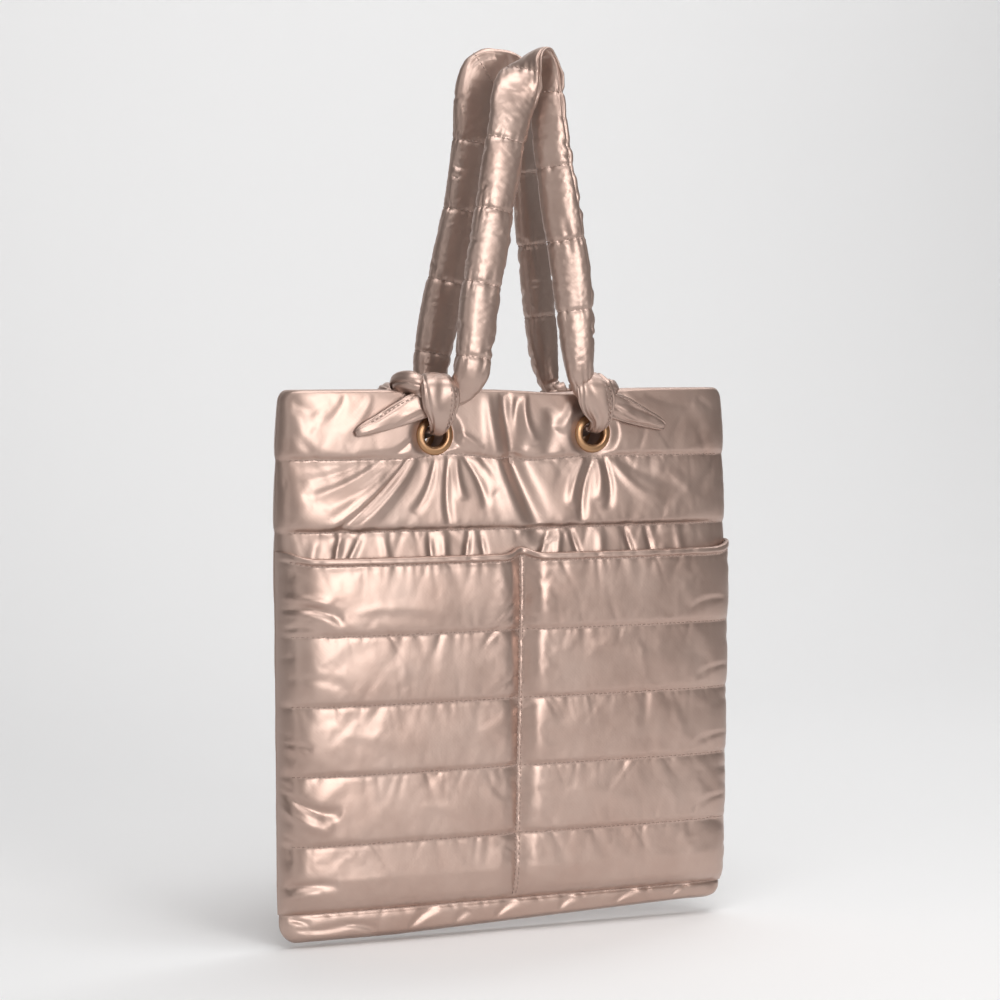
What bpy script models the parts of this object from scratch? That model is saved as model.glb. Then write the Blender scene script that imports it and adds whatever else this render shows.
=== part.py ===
"""Puffer tote bag, hanging by its two padded handles.

Metres, +Z up, front towards -Y. The origin is where the handle tops hang.
The pieces are modelled from the middle of the bag's top edge, then placed below the origin.
"""
import math

import bmesh
import bpy
from mathutils import Vector

# Place of the bag below the point that it hangs from
HANG_DROP = 0.268
HANG_SHIFT = 0.0185

# Body of the bag
BAG_WIDTH = 0.405
BAG_HEIGHT = 0.443
MOUTH_DEPTH = 0.021
BELLY_DEPTH = 0.031
FOOT_DEPTH = 0.012
SEAM_WALL = 0.0026
PUFF_WALL = 0.0095
POCKET_PUFF_WALL = 0.0085
CLEARANCE = 0.0003

# Quilting, measured down from the top edge
TOP_CHANNEL = 0.056
CHANNEL = 0.0575
BOTTOM_SEAM = 0.419

# Front pockets
POCKET_TOP = 0.133
POCKET_HEM = 0.0065
POCKET_MOUTH = 0.0085
POCKET_SAG = 0.004

# Grommets
GROMMET_SPREAD = 0.143
GROMMET_DEPTH = 0.037
GROMMET_OUTER = 0.031
GROMMET_BORE = 0.0187
GROMMET_BACK = 0.027
GROMMET_SHEET = 0.0008
GROMMET_CROWN = 0.0026
CLAMPED_WALL = 0.0024

# Handles
HANDLE_RISE = 0.272
HANDLE_SPREAD = 0.100
HANDLE_STANDOFF = 0.0045
STRAP_WIDTH = 0.034
STRAP_THICK = 0.020
STRAP_PITCH = 0.0595
STRAP_FIRST_SEAM = 0.060
STRAP_PINCH = 0.84
KNOT_GAP = 0.0012

# Faces around a strap and a grommet, and steps along each quilted channel, as shares of it
STRAP_SIDES = 8
GROMMET_SIDES = 16
FRONT_COLUMNS = 18
BACK_COLUMNS = 9
CHANNEL_STEPS = (0.0, 0.15, 0.5, 0.85)

# Depth of the hollow between the panels, and width, down the bag
BODY_PROFILE = (
    # down, depth, width
    (0.00, 1.00 * MOUTH_DEPTH, 0.992),
    (0.10, 1.06 * MOUTH_DEPTH, 1.004),
    (0.27, 1.00 * BELLY_DEPTH, 1.012),
    (0.45, 0.90 * BELLY_DEPTH, 1.004),
    (0.70, 0.62 * BELLY_DEPTH, 1.000),
    (0.90, 1.15 * FOOT_DEPTH, 0.998),
    (0.96, 1.00 * FOOT_DEPTH, 0.996),
    (0.99, 0.55 * FOOT_DEPTH, 0.986),
    (1.00, 0.00 * FOOT_DEPTH, 0.975),
)

# Main folds of the front panel. Middle, lean and breadth are shares of the half width, depth
# and run of the second seam's depth, and rise of the puffed wall.
FRONT_FOLDS = (
    # middle, depth, run, lean, breadth, rise
    (0.010, 0.55, 0.60, 0.09, 0.060, -0.55),
    (-0.10, 0.40, 0.42, 0.05, 0.060, 0.24),
    (0.24, 0.30, 0.30, -0.03, 0.060, 0.26),
    (-0.50, 0.80, 0.26, -0.16, 0.060, -0.24),
    (-0.30, 0.84, 0.22, -0.05, 0.060, -0.22),
    (0.30, 0.80, 0.24, -0.06, 0.060, -0.24),
)

# Routes of the arches, from behind the left knot over the top to behind the right knot.
# Across is a share of half the spread, rise of the rise, forward of the arch's distance from
# the bag's middle plane. Wide and thick are shares of the strap, turn is the heading of its
# width and tip the slope, in degrees.
FRONT_ARCH = (
    # across, rise, forward, wide, thick, turn, tip
    (-1.68, -0.010, 0.80, 0.44, 0.50, 0, -62),
    (-1.36, -0.020, 0.82, 0.48, 0.52, 0, -52),
    (-1.10, -0.004, 0.90, 0.64, 0.64, 4, -30),
    (-0.97, 0.045, 1.02, 0.88, 0.90, 4, -6),
    (-0.90, 0.110, 1.03, 0.94, 1.00, 0, 0),
    (-0.80, 0.260, 1.00, 0.98, 1.00, 0, 0),
    (-0.66, 0.400, 1.00, 1.00, 1.00, 0, 0),
    (-0.50, 0.570, 1.00, 0.98, 0.96, 0, 0),
    (-0.31, 0.750, 0.97, 1.04, 0.84, 0, 0),
    (-0.14, 0.870, 0.90, 1.12, 0.70, 4, 18),
    (0.12, 0.965, 0.78, 0.95, 0.52, 30, 40),
    (0.40, 1.000, 0.66, 0.78, 0.36, 68, 12),
    (0.545, 0.945, 0.68, 0.74, 0.50, 62, 0),
    (0.50, 0.790, 0.86, 0.88, 0.84, 44, 0),
    (0.64, 0.570, 0.97, 0.94, 0.94, 30, 0),
    (0.81, 0.385, 1.00, 0.96, 0.96, 22, 0),
    (0.92, 0.210, 1.02, 0.90, 0.92, 16, 0),
    (0.98, 0.085, 1.03, 0.74, 0.84, 10, 4),
    (1.06, 0.012, 0.94, 0.54, 0.66, 4, 28),
    (1.20, -0.012, 0.84, 0.46, 0.54, 0, 50),
    (1.38, -0.008, 0.80, 0.44, 0.50, 0, 62),
)
BACK_ARCH = (
    # across, rise, forward, wide, thick, turn, tip
    (-1.68, -0.010, 0.80, 0.44, 0.50, 0, -62),
    (-1.40, -0.020, 0.82, 0.48, 0.52, 0, -52),
    (-1.16, -0.004, 0.90, 0.64, 0.64, 4, -30),
    (-1.04, 0.050, 1.02, 0.88, 0.92, 4, -6),
    (-0.98, 0.120, 1.03, 0.98, 1.00, 0, 0),
    (-0.80, 0.290, 1.00, 1.00, 1.00, 0, 0),
    (-0.62, 0.430, 1.00, 0.96, 1.00, 0, 0),
    (-0.42, 0.590, 1.00, 0.94, 0.96, 6, 0),
    (-0.22, 0.760, 0.97, 1.00, 0.86, 10, 0),
    (-0.10, 0.880, 0.90, 1.06, 0.74, 14, 10),
    (0.10, 0.970, 0.78, 0.92, 0.58, 30, 26),
    (0.40, 1.000, 0.66, 0.80, 0.42, 62, 6),
    (0.60, 0.950, 0.68, 0.76, 0.52, 58, 0),
    (0.62, 0.790, 0.86, 0.86, 0.84, 40, 0),
    (0.76, 0.530, 0.97, 0.92, 0.94, 26, 0),
    (0.90, 0.330, 1.00, 0.92, 0.96, 18, 0),
    (1.00, 0.180, 1.02, 0.88, 0.92, 12, 0),
    (1.06, 0.085, 1.03, 0.74, 0.84, 8, 4),
    (1.12, 0.012, 0.94, 0.54, 0.66, 4, 28),
    (1.24, -0.012, 0.84, 0.46, 0.54, 0, 50),
    (1.38, -0.008, 0.80, 0.44, 0.50, 0, 62),
)

# Each knot beyond the arch's foot. Across is a share of the grommets' half spread, up of
# their depth. Layer 0 is inside the bag, 1 tucked against its front and 2 over the tucked
# strap. Wide and thick are shares of the grommet's bore.
KNOT_STRAP = (
    # across, up, layer, wide, thick, turn, tip
    (1.17, -0.06, 1.00, 0.80, 0.50, 0, 62),
    (1.31, 0.18, 0.82, 0.84, 0.48, 30, 40),
    (1.38, 0.25, 0.44, 0.86, 0.42, 10, 8),
    (1.33, 0.08, 0.04, 0.84, 0.38, 0, 0),
    (1.16, -0.46, 0.00, 0.80, 0.35, 0, 0),
    (1.03, -0.78, 0.02, 0.76, 0.35, 0, 0),
    (1.00, -0.90, 0.32, 0.72, 0.35, 0, 0),
    (1.00, -0.90, 0.62, 0.72, 0.36, 0, 0),
)
KNOT_BAND = (
    # across, up, layer, wide, thick, turn, tip
    (1.00, -0.90, 0.40, 0.70, 0.34, 0, 0),
    (1.00, -0.90, 0.90, 0.74, 0.38, 0, 0),
    (1.01, -0.68, 1.66, 1.04, 0.44, 0, 0),
    (1.04, -0.30, 2.00, 1.44, 0.50, 0, 0),
    (1.06, 0.08, 2.00, 1.46, 0.50, 0, 0),
    (1.05, 0.28, 1.30, 1.24, 0.40, 0, 0),
    (1.05, 0.22, 1.00, 1.10, 0.34, 0, 0),
)
KNOT_TAIL = (
    # across, up, layer, wide, thick, turn, tip
    (1.06, -0.28, 1.16, 0.72, 0.46, 0, 80),
    (1.26, -0.36, 1.02, 0.80, 0.46, 0, 74),
    (1.52, -0.56, 1.00, 0.86, 0.42, 0, 70),
    (1.80, -0.80, 1.00, 0.66, 0.34, 0, 66),
    (1.99, -0.94, 1.00, 0.42, 0.22, 0, 64),
)
# Where each side's knot departs from the tables: lean of its top, and reach and lift of the tail
KNOT_SIDES = (
    # name, side, lean, reach, lift
    ("left", -1, 0.00, 1.00, 0.00),
    ("right", 1, -0.19, 0.90, 0.08),
)

FABRIC_COLOUR = (0.50, 0.335, 0.275, 1.0)
BRASS_COLOUR = (0.62, 0.41, 0.20, 1.0)


def clear_scene():
    for item in list(bpy.data.objects):
        bpy.data.objects.remove(item, do_unlink=True)
    for group in list(bpy.data.collections):
        bpy.data.collections.remove(group)


def new_collection(name):
    group = bpy.data.collections.new(name)
    bpy.context.scene.collection.children.link(group)
    return group


def new_material(name, colour, roughness, metallic):
    material = bpy.data.materials.new(name)
    material.use_nodes = True
    shader = material.node_tree.nodes["Principled BSDF"]
    shader.inputs["Base Color"].default_value = colour
    shader.inputs["Roughness"].default_value = roughness
    shader.inputs["Metallic"].default_value = metallic
    return material


clear_scene()
pieces = new_collection("puffer_tote_bag")
cutters = new_collection("cutters")
fabric = new_material("puffer_fabric", FABRIC_COLOUR, 0.42, 0.55)
brass = new_material("grommet_metal", BRASS_COLOUR, 0.3, 1.0)
bag_frame = bpy.data.objects.new("bag_frame", None)
bag_frame.location = (-HANG_SHIFT, 0.0, -HANG_DROP)
pieces.objects.link(bag_frame)


def finish_mesh(name, shape):
    """Turns a closed bmesh into a mesh with its faces pointing out."""
    bmesh.ops.recalc_face_normals(shape, faces=list(shape.faces))
    mesh = bpy.data.meshes.new(name)
    shape.to_mesh(mesh)
    shape.free()
    mesh.shade_smooth()
    mesh.set_sharp_from_angle(angle=math.radians(60))
    return mesh


def add_piece(name, mesh, material):
    """Adds a mesh as one named sub-part in the bag's frame."""
    piece = bpy.data.objects.new(name, mesh)
    piece.data.materials.append(material)
    piece.parent = bag_frame
    pieces.objects.link(piece)
    return piece


def add_boolean(piece, name, mesh, operation):
    """Joins a mesh to a piece, or cuts it away."""
    tool = bpy.data.objects.new(name, mesh)
    tool.hide_render = True
    tool.display_type = "WIRE"
    tool.parent = bag_frame
    cutters.objects.link(tool)
    change = piece.modifiers.new(name, "BOOLEAN")
    change.object = tool
    change.operation = operation
    change.solver = "EXACT"
    change.use_self = operation == "UNION"


# Outline and depth of the padded body


def profile_at(share, column):
    """A column of the body's profile at a share of the height."""
    for low, high in zip(BODY_PROFILE, BODY_PROFILE[1:]):
        if share <= high[0]:
            part = max(share - low[0], 0.0) / (high[0] - low[0])
            return low[column] + (high[column] - low[column]) * part
    return BODY_PROFILE[-1][column]


def puff(share):
    """Rise of a quilted channel between two seams: 0 at the seams and 1 at its crown."""
    return math.sin(math.pi * min(max(share, 0.0), 1.0)) ** 0.6


def even_seams(first, last, pitch):
    """Seams about one pitch apart, spread evenly between two depths."""
    count = max(round((last - first) / pitch), 1)
    return [first + (last - first) * step / count for step in range(count + 1)]


def panel_seams():
    return [0.0, TOP_CHANNEL] + even_seams(TOP_CHANNEL + CHANNEL, BOTTOM_SEAM, CHANNEL) + [BAG_HEIGHT]


def pocket_seams():
    return [POCKET_TOP] + even_seams(POCKET_TOP + POCKET_HEM, BOTTOM_SEAM, CHANNEL)


def row_depths(seams):
    """Depths of a panel's rows: every seam, and the steps over each channel."""
    depths = []
    for top, bottom in zip(seams, seams[1:]):
        depths += [top + (bottom - top) * step for step in CHANNEL_STEPS]
    return depths + [seams[-1]]


def channel_share(seams, down):
    """Where a depth lies between the two seams around it."""
    for top, bottom in zip(seams, seams[1:]):
        if down <= bottom:
            return (down - top) / (bottom - top)
    return 1.0


def side_round(across):
    """Depth of the hollow towards the side seams, as a share of its depth in the middle."""
    return max(1.0 - abs(across) ** 5, 0.0) ** 0.5


def side_wall(across):
    """Puff of the padded wall towards the side seams, as a share of its puff in the middle."""
    return max(1.0 - abs(across) ** 12, 0.0) ** 0.6


def half_width(down):
    return BAG_WIDTH / 2 * profile_at(down / BAG_HEIGHT, 2)


def hollow_depth(across, down):
    """Distance of a panel's inner face from the bag's middle plane."""
    return CLEARANCE / 2 + profile_at(down / BAG_HEIGHT, 1) / 2 * side_round(across)


def panel_wall(across, down):
    """Thickness of a padded panel: full on its crowns, thin at seams, and rolled at both ends."""
    seams = panel_seams()
    share = channel_share(seams, down)
    if down < seams[1]:
        share = 0.12 + 0.88 * share
    if down > seams[-2]:
        share = 0.95 * share
    return SEAM_WALL + (PUFF_WALL - SEAM_WALL) * puff(share) * side_wall(across)


def fold_rise(across, down):
    """Rise of the main folds above the front panel's quilted surface."""
    rise = 0.0
    for middle, depth, run, lean, breadth, height in FRONT_FOLDS:
        along = (down / (TOP_CHANNEL + CHANNEL) - depth) / run
        if abs(along) < 1.0:
            aside = (across - middle - lean * along) / breadth
            rise += height * (1.0 - along * along) * math.exp(-aside * aside)
    return rise * (PUFF_WALL - SEAM_WALL)


# Padded panels


def columns(count, extra=()):
    """Places across a panel, as shares of the half width, closer near the side seams."""
    shares = list(extra)
    for step in range(count + 1):
        even = 2.0 * step / count - 1.0
        shares.append(0.7 * even + 0.3 * math.sin(even * math.pi / 2))
    return sorted(shares)


def wall_mesh(name, shares, depths, place, wall, side):
    """A padded wall: a grid set to its outer face, extruded towards the bag's middle plane."""
    shape = bmesh.new()
    thickness = shape.verts.layers.float.new("thickness")
    bmesh.ops.create_grid(
        shape, x_segments=len(shares) - 1, y_segments=len(depths) - 1, size=1.0
    )
    for vertex in shape.verts:
        across = shares[round((vertex.co.x + 1.0) / 2.0 * (len(shares) - 1))]
        down = depths[round((1.0 - vertex.co.y) / 2.0 * (len(depths) - 1))]
        vertex.co = place(across, down)
        vertex.co.y *= side
        vertex[thickness] = wall(across, down)
    grown = bmesh.ops.extrude_face_region(shape, geom=list(shape.faces))
    for item in grown["geom"]:
        if isinstance(item, bmesh.types.BMVert):
            item.co.y -= item[thickness] * side
    return finish_mesh(name, shape)


def panel_mesh(name, shares, side):
    folds = side < 0

    def wall(across, down):
        rise = fold_rise(across, down) if folds else 0.0
        return panel_wall(across, down) + rise

    def place(across, down):
        depth = hollow_depth(across, down) + wall(across, down)
        return Vector((across * half_width(down), depth, -down))

    return wall_mesh(name, shares, row_depths(panel_seams()), place, wall, side)


def pocket_mesh():
    seams = pocket_seams()

    def centre_pinch(across):
        return 1.0 - math.exp(-((across / 0.05) ** 2))

    def wall(across, down):
        share = channel_share(seams, down)
        if down < seams[1]:
            share = 0.2 + 0.3 * share
        rounded = puff(share) * side_wall(across) * centre_pinch(across)
        return SEAM_WALL + (POCKET_PUFF_WALL - SEAM_WALL) * rounded

    def behind(across, down):
        """Distance of the pocket's inner face: the front panel's crowns, and the pocket's slack."""
        above_seam = (BOTTOM_SEAM - down) / (seams[-1] - seams[-2])
        crown = SEAM_WALL + (PUFF_WALL - SEAM_WALL) * puff(min(above_seam, 0.5)) * side_wall(across)
        slack = POCKET_MOUTH * max(BOTTOM_SEAM - down, 0.0) ** 0.5 / (BOTTOM_SEAM - POCKET_TOP) ** 0.5
        open_part = side_round(across) * centre_pinch(across)
        return hollow_depth(across, down) + crown + CLEARANCE + slack * open_part

    def place(across, down):
        sag_fade = max(1.0 - (down - POCKET_TOP) / CHANNEL, 0.0)
        sag = POCKET_SAG * math.sin(math.pi * min(abs(across), 1.0)) * sag_fade
        depth = behind(across, down) + wall(across, down)
        return Vector((across * half_width(down), depth, -down - sag))

    shares = columns(FRONT_COLUMNS, extra=(-0.035, 0.035))
    return wall_mesh("pocket_panel", shares, row_depths(seams), place, wall, -1)


# Grommets, each clamped through a panel


def clamp_faces():
    """Distances of the clamped wall's two faces from the bag's middle plane."""
    middle = (MOUTH_DEPTH + PUFF_WALL) / 2
    return middle - CLAMPED_WALL / 2, middle + CLAMPED_WALL / 2


def grommet_mesh(name):
    """A turned ring: a domed flange in front, the barrel, and a flat flange behind."""
    inner_face, outer_face = clamp_faces()
    bore = GROMMET_BORE / 2
    barrel = bore + GROMMET_SHEET
    front = outer_face + CLEARANCE
    back = inner_face - CLEARANCE
    rim = GROMMET_OUTER / 2
    profile = (
        # radius, height above the bag's middle plane
        (bore, front + GROMMET_SHEET),
        (bore + 0.22 * (rim - bore), front + GROMMET_CROWN),
        (bore + 0.68 * (rim - bore), front + 0.92 * GROMMET_CROWN),
        (rim, front + 0.3 * GROMMET_CROWN),
        (rim, front),
        (barrel, front),
        (barrel, back),
        (GROMMET_BACK / 2, back),
        (GROMMET_BACK / 2, back - GROMMET_SHEET),
        (bore, back - GROMMET_SHEET),
    )
    shape = bmesh.new()
    points = [shape.verts.new((radius, 0.0, height)) for radius, height in profile]
    for start, end in zip(points, points[1:] + points[:1]):
        shape.edges.new((start, end))
    mesh = bpy.data.meshes.new(name)
    shape.to_mesh(mesh)
    shape.free()
    return mesh


def add_grommet(name, across, side):
    ring = add_piece(name, grommet_mesh(name), brass)
    ring.location = (across * GROMMET_SPREAD / 2, 0.0, -GROMMET_DEPTH)
    ring.rotation_euler = (-side * math.pi / 2, 0.0, 0.0)
    turn = ring.modifiers.new("turned ring", "SCREW")
    turn.axis = "Z"
    turn.angle = 2 * math.pi
    turn.steps = GROMMET_SIDES
    turn.render_steps = GROMMET_SIDES
    turn.use_merge_vertices = True
    turn.merge_threshold = 0.00001
    turn.use_smooth_shade = True


def clamp_cutter(name, radius, low, high, across, side):
    """A round cutter along Y between two distances from the middle plane."""
    shape = bmesh.new()
    bmesh.ops.create_cone(
        shape, cap_ends=True, segments=24, radius1=radius, radius2=radius, depth=high - low
    )
    quarter = Vector((0, 0, 1)).rotation_difference(Vector((0, 1, 0))).to_matrix()
    bmesh.ops.rotate(shape, verts=shape.verts, matrix=quarter)
    middle = Vector((across * GROMMET_SPREAD / 2, side * (low + high) / 2, -GROMMET_DEPTH))
    bmesh.ops.translate(shape, verts=shape.verts, vec=middle)
    return finish_mesh(name, shape)


def cut_clamps(panel, side):
    """Presses the padding flat under each grommet's flanges and cuts the hole for its barrel."""
    inner_face, outer_face = clamp_faces()
    beyond = outer_face + PUFF_WALL
    for label, across in (("left", -1), ("right", 1)):
        for cut, radius, low, high in (
            ("front seat", GROMMET_OUTER / 2 + CLEARANCE, outer_face, beyond),
            ("back seat", GROMMET_BACK / 2 + CLEARANCE, CLEARANCE, inner_face),
            ("hole", GROMMET_BORE / 2 + GROMMET_SHEET + CLEARANCE, 2 * CLEARANCE, beyond + CLEARANCE),
        ):
            name = f"{panel.name} {label} {cut}"
            add_boolean(panel, name, clamp_cutter(name, radius, low, high, across, side), "DIFFERENCE")


# Handles


def smooth_value(rows, column, place):
    """A table's column along its rows, on a Catmull-Rom curve."""
    step = min(int(place), len(rows) - 2)
    part = place - step
    before = rows[max(step - 1, 0)][column]
    low = rows[step][column]
    high = rows[step + 1][column]
    after = rows[min(step + 2, len(rows) - 1)][column]
    straight = 2 * low + (high - before) * part
    bend = (2 * before - 5 * low + 4 * high - after) * part**2
    twist = (3 * low - before - 3 * high + after) * part**3
    return (straight + bend + twist) / 2


def strap_stations(rows, spots):
    """Strap sections at places along rows of (point, wide, thick, turn, tip)."""
    stations = []
    flat_rows = [(*row[0], *row[1:]) for row in rows]
    for spot in spots:
        values = [smooth_value(flat_rows, column, spot) for column in range(7)]
        stations.append((Vector(values[:3]), *values[3:]))
    return stations


def strap_mesh(name, stations, side_x, side_y):
    """A padded strap: elliptical sections lofted along a route, closed at both ends."""
    shape = bmesh.new()
    rings = []
    for index, (centre, wide, thick, turn, tip) in enumerate(stations):
        ahead = stations[min(index + 1, len(stations) - 1)][0]
        behind = stations[max(index - 1, 0)][0]
        heading = (ahead - behind).normalized()
        width = Vector(
            (
                math.cos(math.radians(tip)) * math.cos(math.radians(turn)) * side_x,
                math.cos(math.radians(tip)) * math.sin(math.radians(turn)) * side_y,
                math.sin(math.radians(tip)),
            )
        )
        width = (width - heading * width.dot(heading)).normalized()
        up = heading.cross(width)
        ring = []
        for step in range(STRAP_SIDES):
            angle = 2 * math.pi * step / STRAP_SIDES
            offset = width * (math.cos(angle) * wide / 2) + up * (math.sin(angle) * thick / 2)
            ring.append(shape.verts.new(centre + offset))
        rings.append(ring)
    for low, high in zip(rings, rings[1:]):
        for step in range(STRAP_SIDES):
            other = (step + 1) % STRAP_SIDES
            shape.faces.new((low[step], low[other], high[other], high[step]))
    shape.faces.new(rings[0])
    shape.faces.new(rings[-1])
    return finish_mesh(name, shape)


def clear_of_front(x, down, half_thick):
    """Distance from the middle plane at which a strap lies on the front panel."""
    across = min(max(x / (BAG_WIDTH / 2), -1.0), 1.0)
    down = min(max(down, 0.12 * TOP_CHANNEL), TOP_CHANNEL / 2)
    rolled = hollow_depth(across, down) + PUFF_WALL
    return rolled + KNOT_GAP + half_thick


def arch_rows(table, side):
    """An arch's rows in metres, kept clear of the panel where its feet pass in front of it."""
    rows = []
    forward_place = MOUTH_DEPTH / 2 + PUFF_WALL + STRAP_THICK / 2 + HANDLE_STANDOFF
    for across, rise, forward, wide, thick, turn, tip in table:
        x = across * HANDLE_SPREAD / 2
        z = rise * HANDLE_RISE
        y = forward * forward_place
        if z < TOP_CHANNEL / 4:
            y = max(y, clear_of_front(x, -z, thick * STRAP_THICK / 2))
        rows.append(((x, side * y, z), wide * STRAP_WIDTH, thick * STRAP_THICK, turn, tip))
    return rows


def route_length(rows):
    """Length along a route at fine places between its rows."""
    places = [step / 20 for step in range(20 * (len(rows) - 1) + 1)]
    points = [station[0] for station in strap_stations(rows, places)]
    lengths = [0.0]
    for start, end in zip(points, points[1:]):
        lengths.append(lengths[-1] + (end - start).length)
    return places, lengths


def arch_mesh(name, table, side):
    """The long padded strap, pinched at a seam every pitch from its first seam."""
    rows = arch_rows(table, side)
    places, lengths = route_length(rows)
    marks = [0.0]
    seam = STRAP_FIRST_SEAM
    while seam < lengths[-1] - STRAP_PITCH / 3:
        marks += [seam + STRAP_PITCH * step for step in (0.0, 0.2, 0.5, 0.8)]
        seam += STRAP_PITCH
    marks = [mark for mark in marks if mark < lengths[-1] - STRAP_PITCH / 12] + [lengths[-1]]
    stations = []
    for mark in marks:
        index = next(i for i, length in enumerate(lengths) if length >= mark - 1e-9)
        centre, wide, thick, turn, tip = strap_stations(rows, [places[index]])[0]
        share = ((mark - STRAP_FIRST_SEAM) / STRAP_PITCH) % 1.0
        full = STRAP_PINCH + (1.0 - STRAP_PINCH) * puff(share)
        stations.append((centre, wide * full, thick * full, turn, tip))
    return strap_mesh(name, stations, 1, 1 if side > 0 else -1)


def knot_rows(table, side_x, side_y, lean, reach, lift):
    """A knot table's rows in metres, in the layers that it passes through."""
    rows = []
    for across, up, layer, wide, thick, turn, tip in table:
        leaning = lean * min(max((up + 0.7) / 0.7, 0.0), 1.0)
        outward = (across - 1.0) * reach + 1.0 if reach else across
        x = (outward + leaning) * GROMMET_SPREAD / 2
        z = (up + lift * max(across - 1.06, 0.0)) * GROMMET_DEPTH
        half = thick * GROMMET_BORE / 2
        inside = hollow_depth(x / (BAG_WIDTH / 2), max(-z, 0.0)) - KNOT_GAP - half
        tucked = clear_of_front(x, -z, half)
        over = tucked + 2 * half + KNOT_GAP / 4
        y = inside + (tucked - inside) * min(layer, 1.0) + (over - tucked) * max(layer - 1.0, 0.0)
        point = (side_x * x, side_y * y, z)
        rows.append((point, wide * GROMMET_BORE, thick * GROMMET_BORE, turn, tip))
    return rows


def add_handle(name, table, side):
    """One padded handle: its arch, and at each end the knot around the bag's edge and the tail."""
    handle = add_piece(name, arch_mesh(name, table, side), fabric)
    for label, side_x, lean, reach, lift in KNOT_SIDES:
        for part, rows, steps, tail_reach, tail_lift in (
            ("strap", KNOT_STRAP, 2, 1.0, 0.0),
            ("band", KNOT_BAND, 1, 1.0, 0.0),
            ("tail", KNOT_TAIL, 1, reach, lift),
        ):
            metres = knot_rows(rows, side_x, side, lean, tail_reach, tail_lift)
            spots = [step / steps for step in range(steps * (len(rows) - 1) + 1)]
            joined = f"{name} {label} {part}"
            mesh = strap_mesh(joined, strap_stations(metres, spots), side_x, side)
            add_boolean(handle, joined, mesh, "UNION")


# The bag, from its body outwards

front_panel = add_piece("front_panel", panel_mesh("front_panel", columns(FRONT_COLUMNS), -1), fabric)
cut_clamps(front_panel, -1)
back_panel = add_piece("back_panel", panel_mesh("back_panel", columns(BACK_COLUMNS), 1), fabric)
cut_clamps(back_panel, 1)
add_piece("pocket_panel", pocket_mesh(), fabric)
for place_name, place_side in (("front", -1), ("back", 1)):
    add_grommet(f"grommet_{place_name}_left", -1, place_side)
    add_grommet(f"grommet_{place_name}_right", 1, place_side)
add_handle("handle_front", FRONT_ARCH, -1)
add_handle("handle_back", BACK_ARCH, 1)
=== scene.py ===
"""Looks of a quilted puffer tote bag in metallic rose-gold nylon, hanging by two padded handles.

Metres, +Z up, front towards -Y. The origin is where the handle tops hang.
"""
import math

import bpy
import numpy as np
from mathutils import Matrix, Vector


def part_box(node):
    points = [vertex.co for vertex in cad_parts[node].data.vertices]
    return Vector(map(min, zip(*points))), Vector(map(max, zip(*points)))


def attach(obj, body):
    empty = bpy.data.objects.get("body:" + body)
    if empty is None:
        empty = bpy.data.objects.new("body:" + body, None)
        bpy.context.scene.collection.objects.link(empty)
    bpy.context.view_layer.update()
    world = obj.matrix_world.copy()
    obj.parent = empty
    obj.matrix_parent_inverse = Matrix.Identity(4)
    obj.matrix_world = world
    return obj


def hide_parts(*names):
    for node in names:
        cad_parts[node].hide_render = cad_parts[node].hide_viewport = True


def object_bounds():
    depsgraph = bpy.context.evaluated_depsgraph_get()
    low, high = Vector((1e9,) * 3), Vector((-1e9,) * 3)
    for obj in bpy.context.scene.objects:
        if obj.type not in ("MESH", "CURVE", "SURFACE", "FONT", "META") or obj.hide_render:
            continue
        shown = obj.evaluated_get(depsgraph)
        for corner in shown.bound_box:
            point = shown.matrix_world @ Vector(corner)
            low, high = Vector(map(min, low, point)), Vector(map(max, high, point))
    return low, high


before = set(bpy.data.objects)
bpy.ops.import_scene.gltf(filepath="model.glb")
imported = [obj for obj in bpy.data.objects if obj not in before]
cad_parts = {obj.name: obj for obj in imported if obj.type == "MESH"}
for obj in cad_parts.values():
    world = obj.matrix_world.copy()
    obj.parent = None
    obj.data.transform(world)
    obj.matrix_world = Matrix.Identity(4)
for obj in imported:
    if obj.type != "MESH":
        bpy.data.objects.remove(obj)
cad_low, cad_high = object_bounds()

# Room: a pale sweep of paper just under the bag, and a camera a little left of its front.
# Large soft boxes hang above and left of the front, so the puffed cloth is bright just
# under each seam and darker on its lower halves and to the right. The paper is clear from
# behind, so the bag's back can be looked at too.
PAPER_COLOUR = (0.86, 0.858, 0.86, 1.0)
PAPER_GAP = 0.004
PAPER_FRONT = -4.5
PAPER_NEAR = -0.85
PAPER_TURN = 2.6
PAPER_TURN_RADIUS = 1.2
PAPER_TOP = 3.4
PAPER_HALF_WIDTH = 5.0
CAMERA_PLACE = (-1.1372, -2.3238, -0.2329)
CAMERA_YAW = math.radians(25.605)
CAMERA_PITCH = math.radians(2.811)
CAMERA_LENS = 113.15
SOFT_BOXES = (
    # name, place, aims at, width, height, watts, colour
    ("key", (-1.1, -1.8, 1.6), (0.0, 0.0, -0.45), 1.5, 0.9, 8, (1.0, 0.985, 0.97)),
    ("front", (0.12, -2.3, 0.0), (-0.1, 0.0, -0.45), 0.8, 1.2, 25, (1.0, 0.985, 0.97)),
    ("left", (-1.9, -1.3, -0.1), (0.0, 0.0, -0.45), 0.7, 1.3, 3, (1.0, 0.99, 0.98)),
    ("top", (0.1, -1.2, 2.2), (0.0, -0.8, -0.75), 2.4, 1.4, 50, (1.0, 1.0, 1.0)),
    ("paper", (1.3, 0.9, 1.9), (0.9, 2.6, -0.40), 2.8, 1.0, 34, (1.0, 1.0, 1.0)),
)
ROOM_LIGHT = (0.60, 0.595, 0.59, 1.0)
ROOM_STRENGTH = 0.24


def shader_of(name):
    """A new material, its node tree and its Principled BSDF."""
    material = bpy.data.materials.new(name)
    material.use_nodes = True
    return material, material.node_tree, material.node_tree.nodes["Principled BSDF"]


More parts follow.
